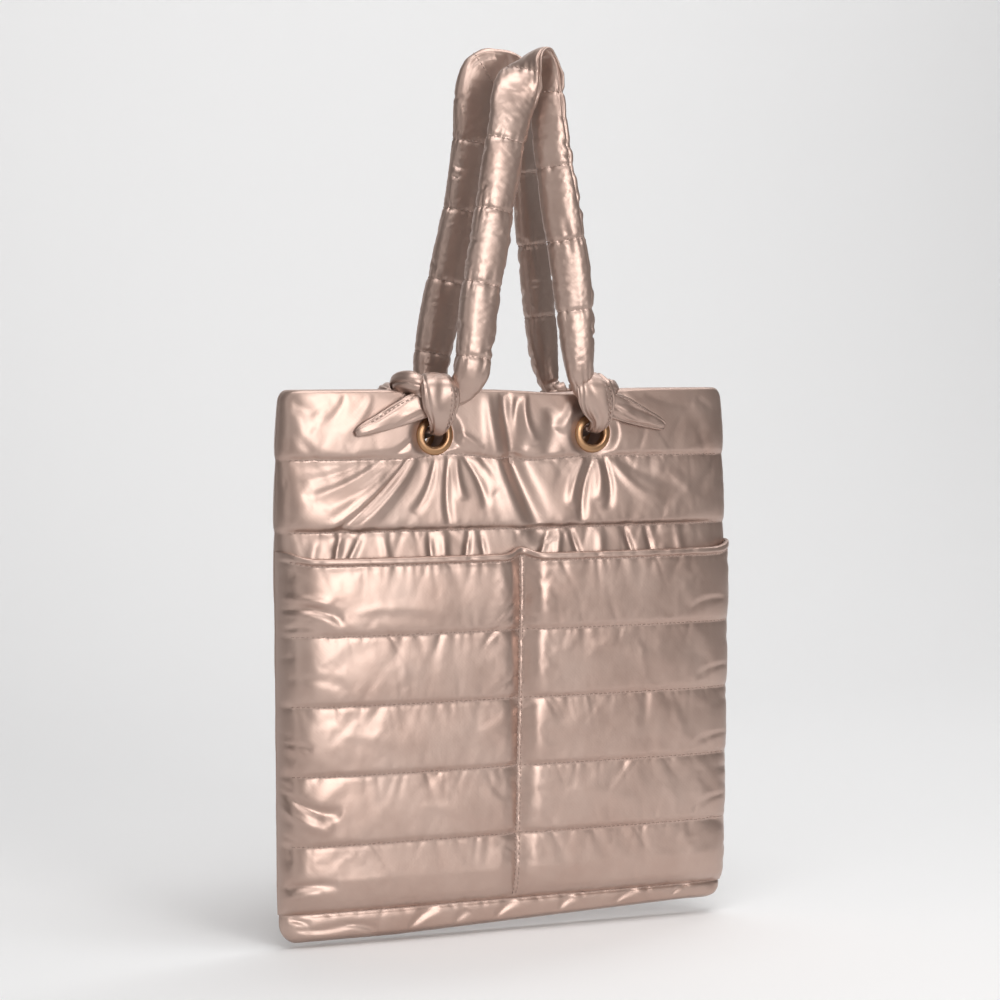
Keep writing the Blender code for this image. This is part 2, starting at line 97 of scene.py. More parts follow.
def mesh_object(name, points, faces, material=None):
    """An object with smooth faces from points and faces."""
    mesh = bpy.data.meshes.new(name)
    mesh.from_pydata(np.asarray(points, dtype=float).tolist(), [], faces)
    mesh.shade_smooth()
    item = bpy.data.objects.new(name, mesh)
    bpy.context.scene.collection.objects.link(item)
    if material is not None:
        mesh.materials.append(material)
    return item


paper_material, paper_tree, paper_shader = shader_of("pale paper")
paper_shader.inputs["Base Color"].default_value = PAPER_COLOUR
paper_shader.inputs["Roughness"].default_value = 0.9
paper_side = paper_tree.nodes.new("ShaderNodeNewGeometry")
paper_seen = paper_tree.nodes.new("ShaderNodeMath")
paper_seen.operation = "SUBTRACT"
paper_seen.inputs[0].default_value = 1.0
paper_tree.links.new(paper_side.outputs["Backfacing"], paper_seen.inputs[1])
paper_tree.links.new(paper_seen.outputs["Value"], paper_shader.inputs["Alpha"])
paper_level = cad_low.z - PAPER_GAP
paper_route = [(PAPER_NEAR, paper_level), (PAPER_TURN - PAPER_TURN_RADIUS, paper_level)]
for turn_step in range(1, 13):
    turn_angle = math.pi / 2 * turn_step / 12
    paper_route.append(
        (
            PAPER_TURN - PAPER_TURN_RADIUS + PAPER_TURN_RADIUS * math.sin(turn_angle),
            paper_level + PAPER_TURN_RADIUS * (1 - math.cos(turn_angle)),
        )
    )
paper_route.append((PAPER_TURN, PAPER_TOP))
for sheet_name, sheet_route, mirrored in (
    ("paper_sweep", paper_route, True),
    ("paper_front", [(PAPER_FRONT, paper_level), (PAPER_NEAR, paper_level)], False),
):
    sheet_points = [(side * PAPER_HALF_WIDTH, y, z) for y, z in sheet_route for side in (-1, 1)]
    sheet_faces = [(2 * i, 2 * i + 1, 2 * i + 3, 2 * i + 2) for i in range(len(sheet_route) - 1)]
    sheet = mesh_object(sheet_name, sheet_points, sheet_faces, paper_material)
    sheet.visible_glossy = mirrored

for box_name, place, aim, box_width, box_height, watts, tint in SOFT_BOXES:
    light = bpy.data.lights.new(f"soft box {box_name}", "AREA")
    light.shape = "RECTANGLE"
    light.size = box_width
    light.size_y = box_height
    light.energy = watts
    light.color = tint
    lamp = bpy.data.objects.new(f"soft box {box_name}", light)
    lamp.location = place
    lamp.rotation_euler = (Vector(aim) - Vector(place)).to_track_quat("-Z", "Y").to_euler()
    bpy.context.scene.collection.objects.link(lamp)

room = bpy.data.worlds.new("soft room")
room.use_nodes = True
room.node_tree.nodes["Background"].inputs["Color"].default_value = ROOM_LIGHT
room.node_tree.nodes["Background"].inputs["Strength"].default_value = ROOM_STRENGTH
bpy.context.scene.world = room
bpy.context.scene.view_settings.view_transform = "Standard"

camera_data = bpy.data.cameras.new("camera")
camera_data.lens = CAMERA_LENS
camera_data.clip_start = 0.05
camera_data.clip_end = 50.0
camera = bpy.data.objects.new("camera", camera_data)
camera.location = CAMERA_PLACE
camera.rotation_euler = (math.pi / 2 - CAMERA_PITCH, 0.0, -CAMERA_YAW)
bpy.context.scene.collection.objects.link(camera)
bpy.context.scene.camera = camera

# Cloth of the whole bag: thin close-woven nylon with a pearly metallic coating. It takes soft
# highlights, shows its weave only up close, and is a little duller where it rubs.
CLOTH_COLOUR = (0.43, 0.288, 0.236, 1.0)
CLOTH_PALE = (0.57, 0.435, 0.375, 1.0)
CLOTH_METALLIC = 0.86
CLOTH_ROUGHNESS = (0.36, 0.48)
CLOTH_COAT = 0.42
CLOTH_COAT_ROUGHNESS = 0.36
CLOTH_BUMP = 0.00006
WEAVE_THREADS = 1900.0
CRINKLE_SCALE = 230.0
DRIFT_SCALE = 22.0


def add_node(tree, kind, values=None, **settings):
    """A node with some of its settings and input values."""
    node = tree.nodes.new(kind)
    for key, value in settings.items():
        setattr(node, key, value)
    for key, value in (values or {}).items():
        node.inputs[key].default_value = value
    return node


def new_group(name, inputs, outputs):
    """A shader node group with its named float inputs and outputs, and its two end nodes."""
    group = bpy.data.node_groups.new(name, "ShaderNodeTree")
    for label, value in inputs:
        socket = group.interface.new_socket(name=label, in_out="INPUT", socket_type="NodeSocketFloat")
        socket.default_value = value
    for label in outputs:
        group.interface.new_socket(name=label, in_out="OUTPUT", socket_type="NodeSocketFloat")
    return group, group.nodes.new("NodeGroupInput"), group.nodes.new("NodeGroupOutput")


weave_group, weave_in, weave_out = new_group(
    "coated weave",
    (("Threads", WEAVE_THREADS), ("Crinkle Scale", CRINKLE_SCALE), ("Drift Scale", DRIFT_SCALE)),
    ("Height", "Rub", "Drift"),
)
weave_place = add_node(weave_group, "ShaderNodeTexCoord")
weave_parts = add_node(weave_group, "ShaderNodeSeparateXYZ")
weave_group.links.new(weave_place.outputs["Object"], weave_parts.inputs[0])
weave_waves = []
for weave_axis in ("X", "Z"):
    thread_turn = add_node(weave_group, "ShaderNodeMath", operation="MULTIPLY")
    weave_group.links.new(weave_parts.outputs[weave_axis], thread_turn.inputs[0])
    weave_group.links.new(weave_in.outputs["Threads"], thread_turn.inputs[1])
    thread_wave = add_node(weave_group, "ShaderNodeMath", operation="SINE")
    weave_group.links.new(thread_turn.outputs[0], thread_wave.inputs[0])
    weave_waves.append(thread_wave)
weave_cross = add_node(weave_group, "ShaderNodeMath", operation="MULTIPLY")
weave_group.links.new(weave_waves[0].outputs[0], weave_cross.inputs[0])
weave_group.links.new(weave_waves[1].outputs[0], weave_cross.inputs[1])
crinkle = add_node(weave_group, "ShaderNodeTexNoise", {"Detail": 3.0, "Roughness": 0.55, "Distortion": 0.6})
weave_group.links.new(weave_place.outputs["Object"], crinkle.inputs["Vector"])
weave_group.links.new(weave_in.outputs["Crinkle Scale"], crinkle.inputs["Scale"])
weave_height = add_node(weave_group, "ShaderNodeMath", {1: 0.12}, operation="MULTIPLY_ADD")
weave_group.links.new(weave_cross.outputs[0], weave_height.inputs[0])
weave_group.links.new(crinkle.outputs["Fac"], weave_height.inputs[2])
weave_group.links.new(weave_height.outputs[0], weave_out.inputs["Height"])
drift = add_node(weave_group, "ShaderNodeTexNoise", {"Detail": 4.0, "Roughness": 0.6})
weave_group.links.new(weave_place.outputs["Object"], drift.inputs["Vector"])
weave_group.links.new(weave_in.outputs["Drift Scale"], drift.inputs["Scale"])
weave_group.links.new(drift.outputs["Fac"], weave_out.inputs["Drift"])
bend = add_node(weave_group, "ShaderNodeNewGeometry")
rub = add_node(weave_group, "ShaderNodeMapRange", {"From Min": 0.50, "From Max": 0.58})
weave_group.links.new(bend.outputs["Pointiness"], rub.inputs["Value"])
weave_group.links.new(rub.outputs["Result"], weave_out.inputs["Rub"])


def cloth_material(name, crinkle_scale, colour, pale):
    """Metallic coated nylon with its weave, drift of tone and rubbed ridges."""
    material, tree, shader = shader_of(name)
    surface = add_node(tree, "ShaderNodeGroup", node_tree=weave_group)
    surface.inputs["Crinkle Scale"].default_value = crinkle_scale
    tone = add_node(tree, "ShaderNodeMix", data_type="RGBA")
    tone.inputs["A"].default_value = colour
    tone.inputs["B"].default_value = pale
    tree.links.new(surface.outputs["Drift"], tone.inputs["Factor"])
    tree.links.new(tone.outputs["Result"], shader.inputs["Base Color"])
    gloss = add_node(
        tree, "ShaderNodeMapRange", {"To Min": CLOTH_ROUGHNESS[0], "To Max": CLOTH_ROUGHNESS[1]}
    )
    tree.links.new(surface.outputs["Drift"], gloss.inputs["Value"])
    duller = add_node(tree, "ShaderNodeMath", {1: 0.08}, operation="MULTIPLY_ADD")
    tree.links.new(surface.outputs["Rub"], duller.inputs[0])
    tree.links.new(gloss.outputs["Result"], duller.inputs[2])
    tree.links.new(duller.outputs[0], shader.inputs["Roughness"])
    bump = add_node(tree, "ShaderNodeBump", {"Strength": 1.0, "Distance": CLOTH_BUMP})
    tree.links.new(surface.outputs["Height"], bump.inputs["Height"])
    tree.links.new(bump.outputs["Normal"], shader.inputs["Normal"])
    shader.inputs["Metallic"].default_value = CLOTH_METALLIC
    shader.inputs["Coat Weight"].default_value = CLOTH_COAT
    shader.inputs["Coat Roughness"].default_value = CLOTH_COAT_ROUGHNESS
    return material


body_cloth = cloth_material("rose nylon body", CRINKLE_SCALE, CLOTH_COLOUR, CLOTH_PALE)

# Thread of the seams: matt polyester thread in the cloth's rose tone. Each stitch is a short
# capsule that dives into the cloth at both ends, in rows along the quilting and closing seams.
STITCH_LONG = 0.0031
STITCH_PITCH = 0.0042
THREAD_THICK = 0.0009
THREAD_SIDES = 5
THREAD_DARK = (0.28, 0.19, 0.155, 1.0)
THREAD_PALE = (0.50, 0.37, 0.32, 1.0)
THREAD_CRINKLE_SCALE = 2600.0


def stitch_row(line, normals):
    """Points and faces of small stitches along a line of points on the cloth."""
    run = np.concatenate([[0], np.cumsum(np.linalg.norm(np.diff(line, axis=0), axis=1))])
    starts = np.arange(STITCH_PITCH, run[-1] - 2 * STITCH_PITCH, STITCH_PITCH)
    ring_places = np.array([0.0, 0.16, 0.84, 1.0]) * STITCH_LONG
    ring_sizes = np.array([0.35, 1.0, 1.0, 0.35]) * THREAD_THICK / 2
    ring_lifts = np.array([-0.7, 0.35, 0.35, -0.7]) * THREAD_THICK
    at = starts[:, None] + ring_places[None, :]
    centre = np.stack([np.interp(at, run, line[:, axis]) for axis in range(3)], axis=-1)
    up = np.stack([np.interp(at, run, normals[:, axis]) for axis in range(3)], axis=-1)
    up /= np.linalg.norm(up, axis=2, keepdims=True)
    ahead = centre[:, -1:] - centre[:, :1]
    ahead = np.broadcast_to(ahead / np.linalg.norm(ahead, axis=2, keepdims=True), up.shape)
    across = np.cross(ahead, up)
    across /= np.linalg.norm(across, axis=2, keepdims=True)
    centre = centre + up * ring_lifts[None, :, None]
    angle = 2 * math.pi * np.arange(THREAD_SIDES) / THREAD_SIDES
    around = across[:, :, None] * np.cos(angle)[:, None] + up[:, :, None] * np.sin(angle)[:, None]
    points = centre[:, :, None] + around * ring_sizes[None, :, None, None]
    count = 4 * THREAD_SIDES
    index = np.arange(count).reshape(4, THREAD_SIDES)
    following = np.roll(index, -1, axis=1)
    quads = np.stack([index[:-1], index[1:], following[1:], following[:-1]], axis=-1).reshape(-1, 4)
    faces = (quads[None] + count * np.arange(len(starts))[:, None, None]).reshape(-1, 4).tolist()
    for stitch in range(len(starts)):
        faces.append((stitch * count + index[0]).tolist())
        faces.append((stitch * count + index[-1][::-1]).tolist())
    return points.reshape(-1, 3), faces


def add_stitches(name, rows, material):
    """One piece of thread from several rows of stitches, each (line, normals)."""
    points, faces, offset = [], [], 0
    for line, normals in rows:
        row_points, row_faces = stitch_row(line, normals)
        points.append(row_points)
        faces += [[corner + offset for corner in face] for face in row_faces]
        offset += len(row_points)
    threads = mesh_object(name, place_in_frame(np.concatenate(points)), faces, material)
    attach(threads, "root")


def seam_rows_of(points, downs, seams, first_row, outward):
    """The lines of points and normals where seams cross the outer face of a fine grid."""
    normals = grid_normals(points) * outward
    rows = []
    for seam in seams:
        outer_downs = np.where(np.arange(len(downs)) >= first_row, downs, -1.0)
        row = int(np.argmin(np.abs(outer_downs - seam)))
        rows.append((points[row, 6:-6], normals[row, 6:-6]))
    return rows


thread_material, thread_tree, thread_shader = shader_of("rose thread")
thread_surface = add_node(thread_tree, "ShaderNodeGroup", node_tree=weave_group)
thread_surface.inputs["Crinkle Scale"].default_value = THREAD_CRINKLE_SCALE
thread_tone = add_node(thread_tree, "ShaderNodeMix", data_type="RGBA")
thread_tone.inputs["A"].default_value = THREAD_DARK
thread_tone.inputs["B"].default_value = THREAD_PALE
thread_tree.links.new(thread_surface.outputs["Drift"], thread_tone.inputs["Factor"])
thread_tree.links.new(thread_tone.outputs["Result"], thread_shader.inputs["Base Color"])
thread_bump = add_node(thread_tree, "ShaderNodeBump", {"Strength": 0.6, "Distance": 0.00005})
thread_tree.links.new(thread_surface.outputs["Height"], thread_bump.inputs["Height"])
thread_tree.links.new(thread_bump.outputs["Normal"], thread_shader.inputs["Normal"])
thread_shader.inputs["Roughness"].default_value = 0.55

# Front panel: two layers of nylon over wadding, quilted by seams right across. It rolls over
# at the mouth, goes down inside as the lining and closes at the sides and the foot. The knots
# pull its top channels into long folds.
PANEL_LOW, PANEL_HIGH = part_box("front_panel")
BAG_MIDDLE = (PANEL_LOW.x + PANEL_HIGH.x) / 2
BAG_TOP = PANEL_HIGH.z
BAG_HEIGHT = PANEL_HIGH.z - PANEL_LOW.z
PROFILE_BROADEST = 1.012
BAG_HALF = (PANEL_HIGH.x - PANEL_LOW.x) / 2 / PROFILE_BROADEST
MOUTH_DEPTH = 0.021
BELLY_DEPTH = 0.031
FOOT_DEPTH = 0.012
SEAM_WALL = 0.0050
PUFF_WALL = 0.0098
FOOT_ROUND = 0.007
FOOT_PUFF = 0.45
PUFF_GAIN = 1.12
PUFF_UPPER = 2.6
PUFF_LOWER = 7.0
CORNER_RADIUS = 0.009
FOOT_CORNER_RADIUS = 0.015
FOOT_RISE = 0.009
MOUTH_DIP = 0.0035
MOUTH_DIP_AT = 0.047
MOUTH_DIP_HALF = 0.046
MOUTH_DIP_FALL = 0.04
SIDE_GAP = 0.00015
SEAM_PULL = 0.0008
MOUTH_SHARE = 0.12
TOP_CHANNEL = 0.056
SECOND_SEAM = 0.1135
BOTTOM_SEAM = 0.419
PANEL_CHANNELS = 5
CLOTH_STEP = 0.0034
CLOTH_FRAMES = 20
CLOTH_STIFFNESS = 18.0
PANEL_BENDING = 1.2
PUFF_KEPT_OUT = 0.9
WRINKLE_MOST = 0.003
WRINKLE_KEPT = 0.5
PANEL_PRESSURE = 1.5
PANEL_MOST = 0.012
CUT_WIDE = 1.022
CUT_TALL = 1.012
WRINKLE_BLUR = 4
MOUTH_ROLL = 0.0030
MOUTH_STEPS = 7
LINING_NEAR = 0.12
LINING_STEPS = (-0.012, -0.006)
FRONT_COVERED = 0.175
PANEL_EDGE = 0.955
SIDE_ROUNDING = 5
SIDE_SQUARENESS = 26
SIDE_FADE = 0.05
GROMMET_SPREAD = 0.143
GROMMET_DEPTH = 0.037
GROMMET_OUTER = 0.031
GROMMET_SINK = 0.0165
GROMMET_LINING = 0.0138
HOLE_CUT = 0.0122
PRESS_REACH = 0.009
CLAMPED_MARGIN = 0.002
HOLE_FADE = 0.004
STITCH_SEED = 5
FINE_GATHER = (0.0062, 0.00055, 0.010)
WIDE_GATHER = (0.017, 0.0009, 0.015)
FOOT_GATHER = (0.0105, 0.0005, 0.016)
SIDE_DART = (0.015, 0.0016, 0.014)
SIDE_DART_INSET = 0.004
RUFFLE_TOP = 0.122
RUFFLE_MIDDLE = 0.128
RUFFLE_HALF = 0.013
SEAM_WAVE_HALF = 0.02
PROFILE = (
    # down, hollow depth, width
    (0.00, 1.00 * MOUTH_DEPTH, 0.990),
    (0.10, 1.06 * MOUTH_DEPTH, 1.002),
    (0.27, 1.00 * BELLY_DEPTH, 1.008),
    (0.45, 0.90 * BELLY_DEPTH, 1.003),
    (0.70, 0.62 * BELLY_DEPTH, 1.000),
    (0.90, 1.15 * FOOT_DEPTH, 0.998),
    (0.96, 1.00 * FOOT_DEPTH, 0.994),
    (0.99, 0.55 * FOOT_DEPTH, 0.984),
    (1.00, 0.00 * FOOT_DEPTH, 0.975),
)
FRONT_FOLDS = (
    # from x, from down, to x, to down, bow, half width, rise, tilt, all in millimetres but tilt
    (-12, 2, 24, 126, -7, 8.5, -7.0, 0.25),
    (-25, 4, 8, 118, -8, 7.0, 2.6, 0.0),
    (9, 4, 16, 44, -5, 3.6, 2.4, 0.3),
    (2, 6, 5, 48, -3, 4.0, -2.2, 0.0),
    (51, 8, 36, 32, 3, 5.0, 2.8, 0.3),
    (30, 14, 28, 50, 5, 9.0, -1.8, 0.0),
    (-94, 54, -163, 113, 3, 3.2, -3.4, 0.6),
    (-88, 56, -146, 114, 2, 5.5, 2.8, 0.0),
    (-116, 54, -186, 84, 4, 3.6, -1.6, 0.5),
    (-134, 56, -188, 70, 3, 3.0, 1.2, 0.4),
    (-104, 55, -170, 94, 4, 4.0, 1.6, 0.3),
    (-72, 57, -95, 98, 3, 3.4, -2.0, 0.5),
    (-60, 58, -63, 113, -3, 3.4, -2.4, 0.4),
    (-53, 58, -50, 90, -2, 3.4, 2.0, 0.2),
    (-46, 57, -26, 96, 4, 3.4, -1.8, -0.4),
    (-38, 57, -20, 84, 3, 4.0, 1.4, 0.0),
    (63, 57, 47, 96, -3, 3.4, 3.0, 0.2),
    (70, 60, 57, 111, -4, 3.4, -3.0, 0.3),
    (75, 58, 74, 92, 2, 3.6, 1.8, 0.0),
    (82, 57, 84, 100, 4, 3.2, -2.2, -0.3),
    (86, 57, 134, 98, -5, 4.5, 1.3, 0.3),
    (92, 57, 158, 84, -4, 5.0, -1.0, 0.3),
    (-96, 46, -140, 52, 2, 3.0, -0.8, 0.4),
    (-90, 38, -112, 54, 0, 3.0, -1.6, 0.4),
    (-57, 38, -46, 54, 0, 3.0, -1.6, -0.4),
    (-52, 36, -30, 50, 0, 3.5, 1.2, 0.0),
    (-204, 6, -180, 34, 6, 7.0, -1.4, 0.4),
    (-150, 4, -176, 30, 4, 5.0, -0.9, 0.4),
    (-128, 4, -158, 34, 4, 5.0, 0.9, 0.4),
    (170, 8, 196, 22, -2, 4.0, -1.0, 0.3),
    (120, 6, 176, 16, -3, 4.0, -0.9, 0.3),
    (100, 4, 150, 30, -3, 6.0, 0.8, 0.3),
    (-196, 424, -178, 431, 2, 3.0, -1.8, 0.4),
    (-190, 432, -140, 430, -3, 3.4, -1.6, 0.5),
    (-150, 431, -118, 440, 3, 3.6, -2.2, 0.4),
    (-92, 440, -66, 423, 3, 4.0, -2.2, 0.4),
    (-52, 439, -40, 425, 2, 3.4, -1.8, -0.3),
    (-14, 438, 6, 424, 3, 4.0, -1.8, 0.4),
    (44, 436, 58, 424, 2, 4.0, -1.8, 0.3),
    (96, 435, 118, 423, 2, 4.0, -1.6, 0.4),
    (150, 433, 168, 422, 2, 3.6, -1.6, 0.4),
)
FRONT_RUFFLES = (
    # x, half width, rise, lean, all in millimetres
    (-176, 4.0, 1.2, -3),
    (-156, 2.6, -2.0, -3),
    (-141, 3.0, -1.8, -6),
    (-118, 3.5, 1.0, 2),
    (-78, 2.6, -1.8, 1),
    (-66, 3.6, 1.4, 0),
    (-44, 2.6, -2.0, -2),
    (-32, 2.6, -1.6, 2),
    (27, 3.0, -2.4, -5),
    (38, 3.0, 1.4, -2),
    (51, 2.8, -2.2, 4),
    (76, 4.0, 1.2, 0),
    (101, 2.8, -2.2, 4),
    (121, 2.8, -1.8, 3),
    (150, 4.0, 1.0, 2),
)
SEAM_WAVES = (
    # seam, x, half width, lift, all in millimetres but the seam's number
    (1, -58, 26, 3.6),
    (1, 18, 24, -2.4),
    (2, 20, 16, -1.6),
)


def profile_at(down, column):
    """A column of the body's profile at depths below the top edge."""
    rows = np.array(PROFILE)
    return np.interp(np.asarray(down) / BAG_HEIGHT, rows[:, 0], rows[:, column])


def puff(share):
    """Rise of a quilted channel between two seams, sagging so that it is fullest low down."""
    share = np.clip(share, 0.0, 1.0)
    return PUFF_GAIN * (1.0 - (1.0 - share) ** PUFF_UPPER) * (1.0 - share**PUFF_LOWER) ** 0.6


def even_seams(first, last, count):
    """Depths of seams at even distances."""
    return [first + (last - first) * step / count for step in range(count + 1)]


def channel_share(seams, down):
    """Where depths lie between the two seams around them."""
    index = np.clip(np.searchsorted(seams, down, side="right") - 1, 0, len(seams) - 2)
    seams = np.array(seams)
    return (down - seams[index]) / (seams[index + 1] - seams[index])


def hollow_depth(across, down):
    """Distance of a panel's lining from the bag's middle plane."""
    round_side = np.sqrt(np.clip(1.0 - np.abs(across) ** SIDE_ROUNDING, 0.0, 1.0))
    return SIDE_GAP + profile_at(down, 1) / 2 * round_side


def side_fall(across):
    """Fall of the padding to the side seams."""
    return np.sqrt(np.clip(1.0 - np.abs(across) ** SIDE_SQUARENESS, 0.0, 1.0))


def foot_fall(down):
    """Fall of the padding to the foot."""
    below = np.clip((down - (BAG_HEIGHT - FOOT_ROUND)) / FOOT_ROUND, 0.0, 1.0)
    return np.sqrt(1.0 - below**2)


def graded(stops):
    """Places through stretches of (end, step), starting from the first stop's end."""
    places = [stops[0][0]]
    for end, step in stops[1:]:
        count = max(round((end - places[-1]) / step), 1)
        start = places[-1]
        places += [start + (end - start) * part / count for part in range(1, count + 1)]
    return np.array(places)


def panel_columns(step, extra=()):
    """Places across a panel, as shares of its half width, close together at the side seams."""
    count = round(2 * PANEL_EDGE * BAG_HALF / step)
    middle = np.linspace(-PANEL_EDGE, PANEL_EDGE, count + 1)
    rim = 1.0 - (1.0 - PANEL_EDGE) * (1.0 - np.sin(np.linspace(0.0, math.pi / 2, 6)[1:]))
    shares = np.concatenate([-rim[::-1], middle, rim])
    for place in extra:
        shares[np.argmin(np.abs(shares - place))] = place
    return shares


def finer(points, axis):
    """Points with a new one on a cubic curve between each two along an axis."""
    points = np.moveaxis(points, axis, 0)
    first = 2 * points[:1] - points[1:2]
    last = 2 * points[-1:] - points[-2:-1]
    wide = np.concatenate([first, points, last])
    between = (9 * (wide[1:-2] + wide[2:-1]) - wide[:-3] - wide[3:]) / 16
    result = np.empty((2 * len(points) - 1, *points.shape[1:]))
    result[::2] = points
    result[1::2] = between
    return np.moveaxis(result, 0, axis)


def grid_faces(rows, columns):
    """Quads of a grid of points, row by row."""
    index = np.arange(rows * columns).reshape(rows, columns)
    quads = np.stack([index[:-1, :-1], index[1:, :-1], index[1:, 1:], index[:-1, 1:]], axis=-1)
    return quads.reshape(-1, 4)


def grid_normals(points):
    """Normals of a grid whose rows run down the front and whose columns run to +X."""
    down = np.gradient(points, axis=0)
    right = np.gradient(points, axis=1)
    normal = np.cross(down, right)
    return normal / np.maximum(np.linalg.norm(normal, axis=2, keepdims=True), 1e-12)


def settled(name, start, cut, faces, sewn, pressure, bending):
    """Start points of a padded sheet after its cloth, cut larger than its seams, has settled."""
    mesh = bpy.data.meshes.new(name)
    mesh.from_pydata(start.reshape(-1, 3).tolist(), [], faces.tolist())
    item = bpy.data.objects.new(name, mesh)
    bpy.context.scene.collection.objects.link(item)
    item.shape_key_add(name="sewn")
    flat = item.shape_key_add(name="cut size")
    flat.data.foreach_set("co", cut.reshape(-1))
    held = item.vertex_groups.new(name="sewn down")
    held.add(np.flatnonzero(sewn.reshape(-1)).tolist(), 1.0, "REPLACE")
    cloth = item.modifiers.new("cloth", "CLOTH")
    cloth.settings.rest_shape_key = flat
    cloth.settings.vertex_group_mass = held.name
    cloth.settings.quality = 5
    cloth.settings.mass = 0.12
    cloth.settings.tension_stiffness = CLOTH_STIFFNESS
    cloth.settings.compression_stiffness = CLOTH_STIFFNESS
    cloth.settings.shear_stiffness = CLOTH_STIFFNESS / 3
    cloth.settings.bending_stiffness = bending
    cloth.settings.tension_damping = 6
    cloth.settings.compression_damping = 6
    cloth.settings.shear_damping = 4
    cloth.settings.air_damping = 3
    cloth.settings.use_pressure = True
    cloth.settings.uniform_pressure_force = pressure
    cloth.settings.effector_weights.gravity = 0.0
    cloth.collision_settings.use_collision = False
    cloth.point_cache.frame_start = 1
    cloth.point_cache.frame_end = CLOTH_FRAMES + 1
    scene = bpy.context.scene
    for step in range(1, CLOTH_FRAMES + 1):
        scene.frame_set(step)
    final = item.evaluated_get(bpy.context.evaluated_depsgraph_get()).data
    points = np.empty(start.size)
    final.vertices.foreach_get("co", points)
    scene.frame_set(1)
    bpy.data.objects.remove(item, do_unlink=True)
    bpy.data.meshes.remove(mesh)
    moved = points.reshape(start.shape) - start
    far = np.linalg.norm(moved, axis=2, keepdims=True)
    return start + moved * (PANEL_MOST * np.tanh(far / PANEL_MOST) / np.maximum(far, 1e-9))


def blurred(values, radius):
    """A grid's values softened over a number of its cells."""
    weights = np.exp(-((np.arange(-2 * radius, 2 * radius + 1) / radius) ** 2))
    weights /= weights.sum()
    for axis in (0, 1):
        values = np.moveaxis(values, axis, 0)
        before = values[:1].repeat(2 * radius, 0)
        after = values[-1:].repeat(2 * radius, 0)
        padded = np.concatenate([before, values, after])
        values = sum(weight * padded[i : i + len(values)] for i, weight in enumerate(weights))
        values = np.moveaxis(values, 0, axis)
    return values


def wrinkles_of(moved):
    """The small wrinkles in a settled cloth's movement, without its broad swelling."""
    wrinkles = WRINKLE_KEPT * (moved - PUFF_KEPT_OUT * blurred(moved, WRINKLE_BLUR))
    return WRINKLE_MOST * np.tanh(wrinkles / WRINKLE_MOST)


def arc_lengths(points, axis):
    """Running length along an axis of a grid, averaged over the other."""
    steps = np.linalg.norm(np.diff(points, axis=axis), axis=2)
    along = np.median(steps, axis=1 - axis)
    return np.concatenate([[0.0], np.cumsum(along)])


def cut_sheet(points):
    """The flat piece that a padded sheet was cut from, larger than the sheet across and down."""
    downs = arc_lengths(points, 0)
    acrosses = arc_lengths(points, 1)
    flat = np.zeros(points.shape)
    flat[..., 0] = acrosses[None, :] * CUT_WIDE
    flat[..., 2] = -downs[:, None] * CUT_TALL
    return flat


def fold_heights(x, down, folds):
    """Heights of folds at places of a panel, in metres."""
    height = np.zeros(x.shape)
    for x0, down0, x1, down1, bow, half, rise, tilt in folds:
        start = np.array([x0, down0]) / 1000
        run = np.array([x1 - x0, down1 - down0]) / 1000
        length = np.linalg.norm(run)
        ahead = run / length
        along = ((x - start[0]) * ahead[0] + (down - start[1]) * ahead[1]) / length
        aside = (x - start[0]) * ahead[1] - (down - start[1]) * ahead[0]
        aside = aside - bow / 1000 * 4 * along * (1 - along)
        taper = np.sqrt(np.clip(4 * along * (1 - along), 0.0, 1.0)) * (along > 0) * (along < 1)
        spread = half / 1000 * (0.55 + 0.9 * np.clip(along, 0.0, 1.0))
        share = aside / spread
        bell = np.exp(-share * share)
        height += rise / 1000 * taper * bell * (1.0 - abs(tilt) + 1.9 * tilt * share)
    return height


def seam_teeth(x, down, seam, seed, pitch, rise, reach):
    """Small gathers above and below a seam, of random place, size and slant."""
    random = np.random.default_rng(seed)
    height = np.zeros(x.shape)
    near = np.flatnonzero(np.min(np.abs(down - seam), axis=1) < 4 * reach)
    if len(near) == 0:
        return height
    band = slice(near[0], near[-1] + 1)
    xs = x[band]
    away = down[band] - seam
    place = x.min() + pitch
    while place < x.max() - pitch / 2:
        size = random.uniform(0.3, 1.0) ** 1.5
        long_reach = reach * random.uniform(0.5, 1.7)
        lean = random.normal(0.0, 0.35)
        half = pitch * random.uniform(0.16, 0.34)
        side = 1.0 if random.random() < 0.6 else -1.0
        one_side = np.where(away * side > -0.001, 1.0, 0.35)
        aside = (xs - place - lean * away) / (half * (1 + 0.7 * np.abs(away) / long_reach))
        fade = np.exp(-np.abs(away) / long_reach) * one_side
        height[band] -= rise * size * fade * np.exp(-aside * aside)
        place += pitch * random.uniform(0.55, 1.6)
    return height


def side_darts(x, down, seed):
    """Darts that run in from both side seams."""
    height = np.zeros(x.shape)
    for side in (-1, 1):
        height += seam_teeth(down, x, side * (BAG_HALF - SIDE_DART_INSET), seed + side, *SIDE_DART)
    return height


def hole_distances(points):
    """Distance of a grid's points from the middle of the nearer grommet."""
    nearest = np.full(points.shape[:2], 1.0)
    for side in (-1, 1):
        aside = points[..., 0] - side * GROMMET_SPREAD / 2
        nearest = np.minimum(nearest, np.hypot(aside, points[..., 2] + GROMMET_DEPTH))
    return nearest


def pressed(points, from_hole, outer_rows, side):
    """A grid clamped together around the grommets, its outer rows on their flanges."""
    press = np.clip((GROMMET_OUTER / 2 + PRESS_REACH - from_hole) / PRESS_REACH, 0.0, 1.0)
    press = press * press * (3 - 2 * press)
    clamped_at = side * np.where(outer_rows, GROMMET_SINK, GROMMET_LINING)
    points[..., 1] = points[..., 1] * (1 - press) + clamped_at * press
    return points


